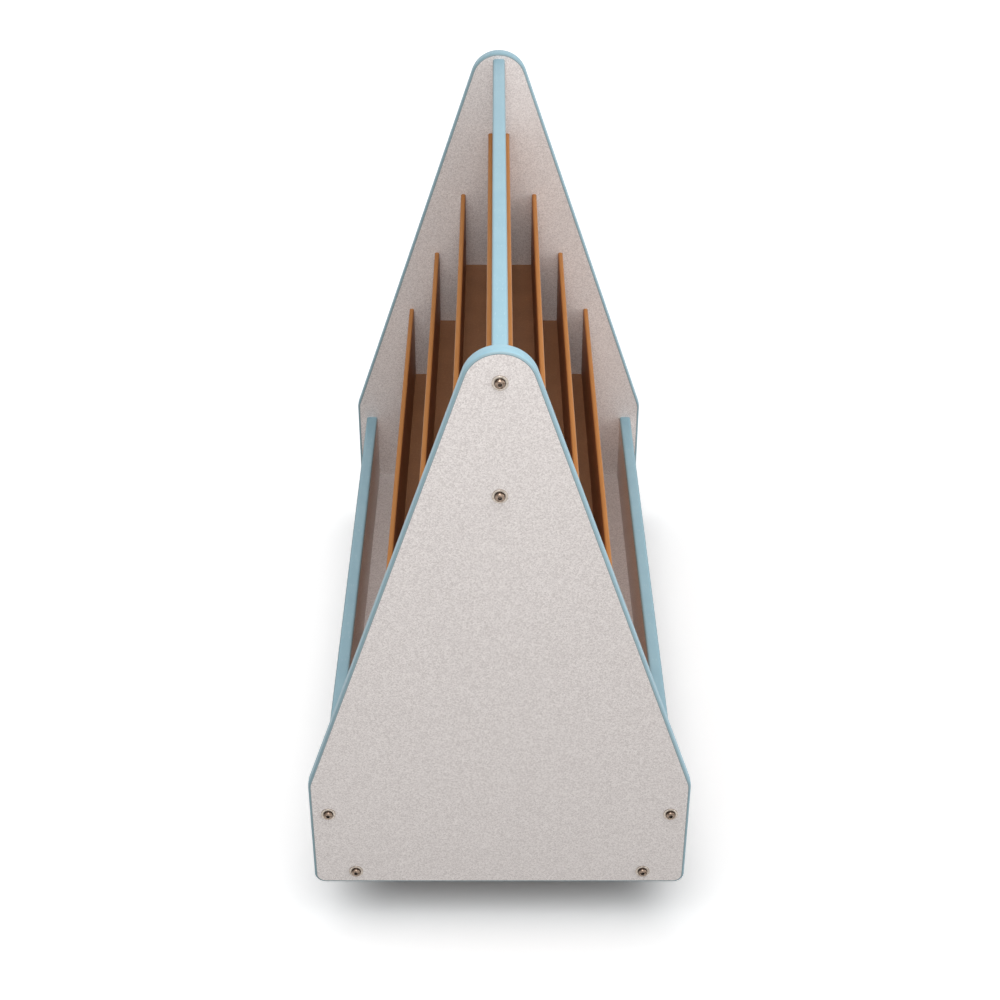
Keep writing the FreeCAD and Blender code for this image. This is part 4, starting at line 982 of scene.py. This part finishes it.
mid_tread = WHEEL_WIDTH / 2
wheel = eased([
    (0, AXLE_HOLE_END, 0), (AXLE_HOLE, AXLE_HOLE_END, 0), (AXLE_HOLE, 0, RIM_ROUND / 2),
    (HUB_RADIUS, 0, RIM_ROUND), (HUB_RADIUS, DISC_BACK, DISH_ROUND),
    (RIM_RADIUS, DISC_BACK, DISH_ROUND), (RIM_RADIUS, 0, RIM_ROUND),
    (TREAD_RADIUS, 0, TREAD_ROUND), (TREAD_RADIUS, mid_tread - PARTING_WIDTH, 0),
    (TREAD_RADIUS - PARTING_DEPTH, mid_tread, 0), (TREAD_RADIUS, mid_tread + PARTING_WIDTH, 0),
    (TREAD_RADIUS, WHEEL_WIDTH, TREAD_ROUND), (RIM_RADIUS, WHEEL_WIDTH, RIM_ROUND),
    (RIM_RADIUS, DISC_FACE, DISH_ROUND), (HUB_RADIUS, DISC_FACE, DISH_ROUND),
    (HUB_RADIUS, HUB_CAP, RIM_ROUND), (0, HUB_CAP + CAP_SWELL, 0)])
wheel_angle, spoke_lift = bar_columns(wheel[:, 0], SPOKE_COUNT, SPOKE_HALF_WIDTH)
wheel_angle = wheel_angle + np.pi / 2
on_disc = (wheel[:, 1] >= DISC_FACE) & (wheel[:, 1] < SPOKE_TOP) & (wheel[:, 0] >= HUB_RADIUS)
spoke_height = np.where(on_disc, SPOKE_TOP - wheel[:, 1], 0)
wheel_height = wheel[:, 1:] + np.outer(spoke_height, spoke_lift)
print("rows and columns of a wheel:", wheel_height.shape)

# %% [markdown]
# Each caster has two wheels, back to back, which turn on their own. The inner face of a wheel is its zero
# height, and its axis points away from the caster's middle, so one shape serves both sides.

# %% Wheels
CASTERS = [f"{end}_{side}" for end in ("near", "far") for side in ("left", "right")]
for caster in CASTERS:
    for side, outwards in (("left", -1), ("right", 1)):
        low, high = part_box(f"{caster}_caster_{side}_wheel")
        inner = high.x if outwards < 0 else low.x
        hub = (inner, (low.y + high.y) / 2, (low.z + high.z) / 2)
        piece(f"{caster}_{side}_spoked_wheel",
              [turned(hub, (outwards, 0, 0), wheel_height, wheel[:, :1], wheel_angle)], wheel_nylon,
              f"{caster}_{side}_wheel", [f"{caster}_caster_{side}_wheel"])

# %% [markdown]
# The hood, the brake pedal and the plate of a caster have the right shape already, but their edges are sharp,
# and no mould or press gives sharp edges. A copy of the solid gets them eased by a bevel. The copy comes as
# loose triangles, so these are joined first, and flat faces are made whole again.

# %% Caster hoods, pedals and plates
JOIN = 1e-6
FLAT = math.radians(1)
BEVEL_FROM = math.radians(40)
MOULDED_EASE = 0.5 * MM
PRESSED_EASE = 0.4 * MM
BRAKED_CASTERS = ("near_left", "near_right")


def softened(name, solid, finish, body, width):
    """Copy a solid, join its triangles into whole faces, and ease the edges by a bevel of the width."""
    mesh = bpy.data.meshes.new(name)
    shell = bmesh.new()
    shell.from_mesh(nodes[solid].data)
    bmesh.ops.remove_doubles(shell, verts=shell.verts, dist=JOIN)
    bmesh.ops.dissolve_limit(shell, angle_limit=FLAT, verts=shell.verts, edges=shell.edges)
    shell.to_mesh(mesh)
    shell.free()
    item = hand_over(name, mesh, finish, body, [solid])
    bevel = item.modifiers.new("eased_edges", "BEVEL")
    bevel.width = width
    bevel.segments = 2
    bevel.limit_method = "ANGLE"
    bevel.angle_limit = BEVEL_FROM
    bevel.harden_normals = True


for caster in CASTERS:
    softened(f"{caster}_moulded_hood", f"{caster}_caster_hood", hood_nylon, f"{caster}_caster",
             MOULDED_EASE)
    softened(f"{caster}_pressed_plate", f"{caster}_caster_plate", zinc_plate, "stand",
             PRESSED_EASE)
for caster in BRAKED_CASTERS:
    softened(f"{caster}_moulded_pedal", f"{caster}_brake_pedal", pedal_nylon, f"{caster}_pedal",
             MOULDED_EASE)

# %% [markdown]
# Three low bars on the foot tab give a shoe its grip. Each is a capsule, half sunk into the tab. They are
# too low to matter to the motion, so they are drawn only here, and turned shapes are at hand to draw them.

# %% Grip bars of the pedals
TAB_TOP = 32.5 * MM
GRIP_RADIUS = 0.75 * MM
GRIP_HALF_LENGTH = 17.0 * MM
GRIP_SPACING = 3.2 * MM
GRIP_MARGIN = 2.6 * MM
GRIP_COUNT = 3
GRIP_CAP_POINTS = 6
GRIP_ANGLES = np.linspace(0, 2 * np.pi, 17)

cap = np.linspace(0, np.pi / 2, GRIP_CAP_POINTS)
grip_radius = GRIP_RADIUS * np.concatenate([np.sin(cap), np.sin(cap)[::-1]])
grip_height = np.concatenate([-GRIP_HALF_LENGTH - GRIP_RADIUS * np.cos(cap),
                              GRIP_HALF_LENGTH + GRIP_RADIUS * np.cos(cap)[::-1]])
for caster in BRAKED_CASTERS:
    low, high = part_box(f"{caster}_brake_pedal")
    rows = high.y - GRIP_MARGIN - GRIP_SPACING * np.arange(GRIP_COUNT)
    bars = [turned(((low.x + high.x) / 2, y, TAB_TOP), (1, 0, 0), grip_height[:, None], grip_radius[:, None],
                   GRIP_ANGLES) for y in rows]
    piece(f"{caster}_pedal_grips", bars, pedal_nylon, f"{caster}_pedal", [])

# %% [markdown]
# Pan-head screws hold the plates up to the base board. The driver's recess is a cross: four slots turned down
# into the head, open to each other in the middle. As with the spokes, the columns of the grid carry the
# slots, so that nothing has to be cut.

# %% Caster screws
SCREW_HEAD = 4.0 * MM
SCREW_HEAD_HEIGHT = 2.6 * MM
SCREW_HEAD_ROUND = 1.3 * MM
SCREW_SHANK = 2.1 * MM
SCREW_LENGTH = 14.5 * MM
SCREW_POINT = 3.0 * MM
SCREW_SPACING = 14.3 * MM
RECESS_REACH = 1.95 * MM
RECESS_MIDDLE = 0.85 * MM
RECESS_DEPTH = 1.4 * MM
RECESS_HALF_WIDTH = 0.5 * MM
RECESS_ARMS = 4

recess = np.array([0, RECESS_MIDDLE, RECESS_MIDDLE, RECESS_REACH, RECESS_REACH])
head = np.stack([recess, np.full_like(recess, SCREW_HEAD_HEIGHT)], axis=1)
shoulder = eased([
    (RECESS_REACH, SCREW_HEAD_HEIGHT, 0), (SCREW_HEAD, SCREW_HEAD_HEIGHT, SCREW_HEAD_ROUND),
    (SCREW_HEAD, 0, 0), (SCREW_SHANK, 0, 0), (SCREW_SHANK, SCREW_POINT - SCREW_LENGTH, 0),
    (0, -SCREW_LENGTH, 0)])
screw = np.concatenate([head, shoulder])
screw_angle, recess_lift = bar_columns(screw[:, 0], RECESS_ARMS, RECESS_HALF_WIDTH)
sunk = np.zeros((len(screw), len(recess_lift)))
# The first two rows are the middle, sunk whole, and the next two are sunk only in the slots
sunk[:2] = RECESS_DEPTH
sunk[2:4] = RECESS_DEPTH * recess_lift
screw_height = screw[:, 1:] - sunk

screws = []
for caster in CASTERS:
    low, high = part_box(f"{caster}_caster_plate")
    middle = (low + high) / 2
    screws += [
        turned((middle.x + i * SCREW_SPACING, middle.y + j * SCREW_SPACING, low.z), (0, 0, -1), screw_height,
               screw[:, :1], screw_angle) for i in (-1, 1) for j in (-1, 1)]
piece("cross_head_screws", screws, zinc_plate, "stand", ["caster_screws"])

# %% [markdown]
# Each bolt ends in a barrel nut, a short steel cylinder in a hole across the board. A slot in its ends lets
# a screwdriver turn it until its thread faces the bolt. As in the screws, a small disc in the middle is sunk
# whole, so that the slot runs through. The bolt fills the threaded hole, so that isn't drawn.

# %% Barrel nuts
NUT_RADIUS = 5.0 * MM
NUT_HALF_LENGTH = 6.0 * MM
NUT_CHAMFER = 0.5 * MM
NUT_SETBACK = 35.0 * MM
SLOT_HALF_WIDTH = 0.65 * MM
SLOT_DEPTH = 1.1 * MM
SLOT_MIDDLE = 0.76 * MM
SLOT_ARMS = 2

middle = np.array([(0, NUT_HALF_LENGTH), (SLOT_MIDDLE, NUT_HALF_LENGTH)])
rim = eased([
    (SLOT_MIDDLE, NUT_HALF_LENGTH, 0), (NUT_RADIUS, NUT_HALF_LENGTH, NUT_CHAMFER), (NUT_RADIUS, 0, 0)])
nut_half = np.concatenate([middle, rim])
half_angle, slot_lift = bar_columns(nut_half[:, 0], SLOT_ARMS, SLOT_HALF_WIDTH)
share = np.tile(slot_lift, (len(nut_half), 1))
share[:len(middle)] = 1
into_slot = np.maximum(nut_half[:, 1:] - (NUT_HALF_LENGTH - SLOT_DEPTH), 0)
half_height = nut_half[:, 1:] - share * into_slot
nut_height = np.concatenate([half_height, -half_height[::-1]])
nut_radius = np.concatenate([nut_half[:, :1], nut_half[::-1, :1]])
nut_angle = np.concatenate([half_angle, half_angle[::-1]])

for end, outwards in (("near", -1), ("far", 1)):
    low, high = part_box(f"{end}_end_panel")
    inner = high.y if outwards < 0 else low.y
    y = inner - outwards * NUT_SETBACK
    level = [turned((x, y, z), (1, 0, 0), nut_height, nut_radius, nut_angle)
             for x, z in RAIL_BOLTS + LIP_BOLTS]
    upright = [turned((x, y, z), (0, 0, 1), nut_height, nut_radius, nut_angle) for x, z in BASE_BOLTS]
    piece(f"{end}_barrel_nuts", level + upright, zinc_plate, "stand", [f"{end}_end_nuts"])
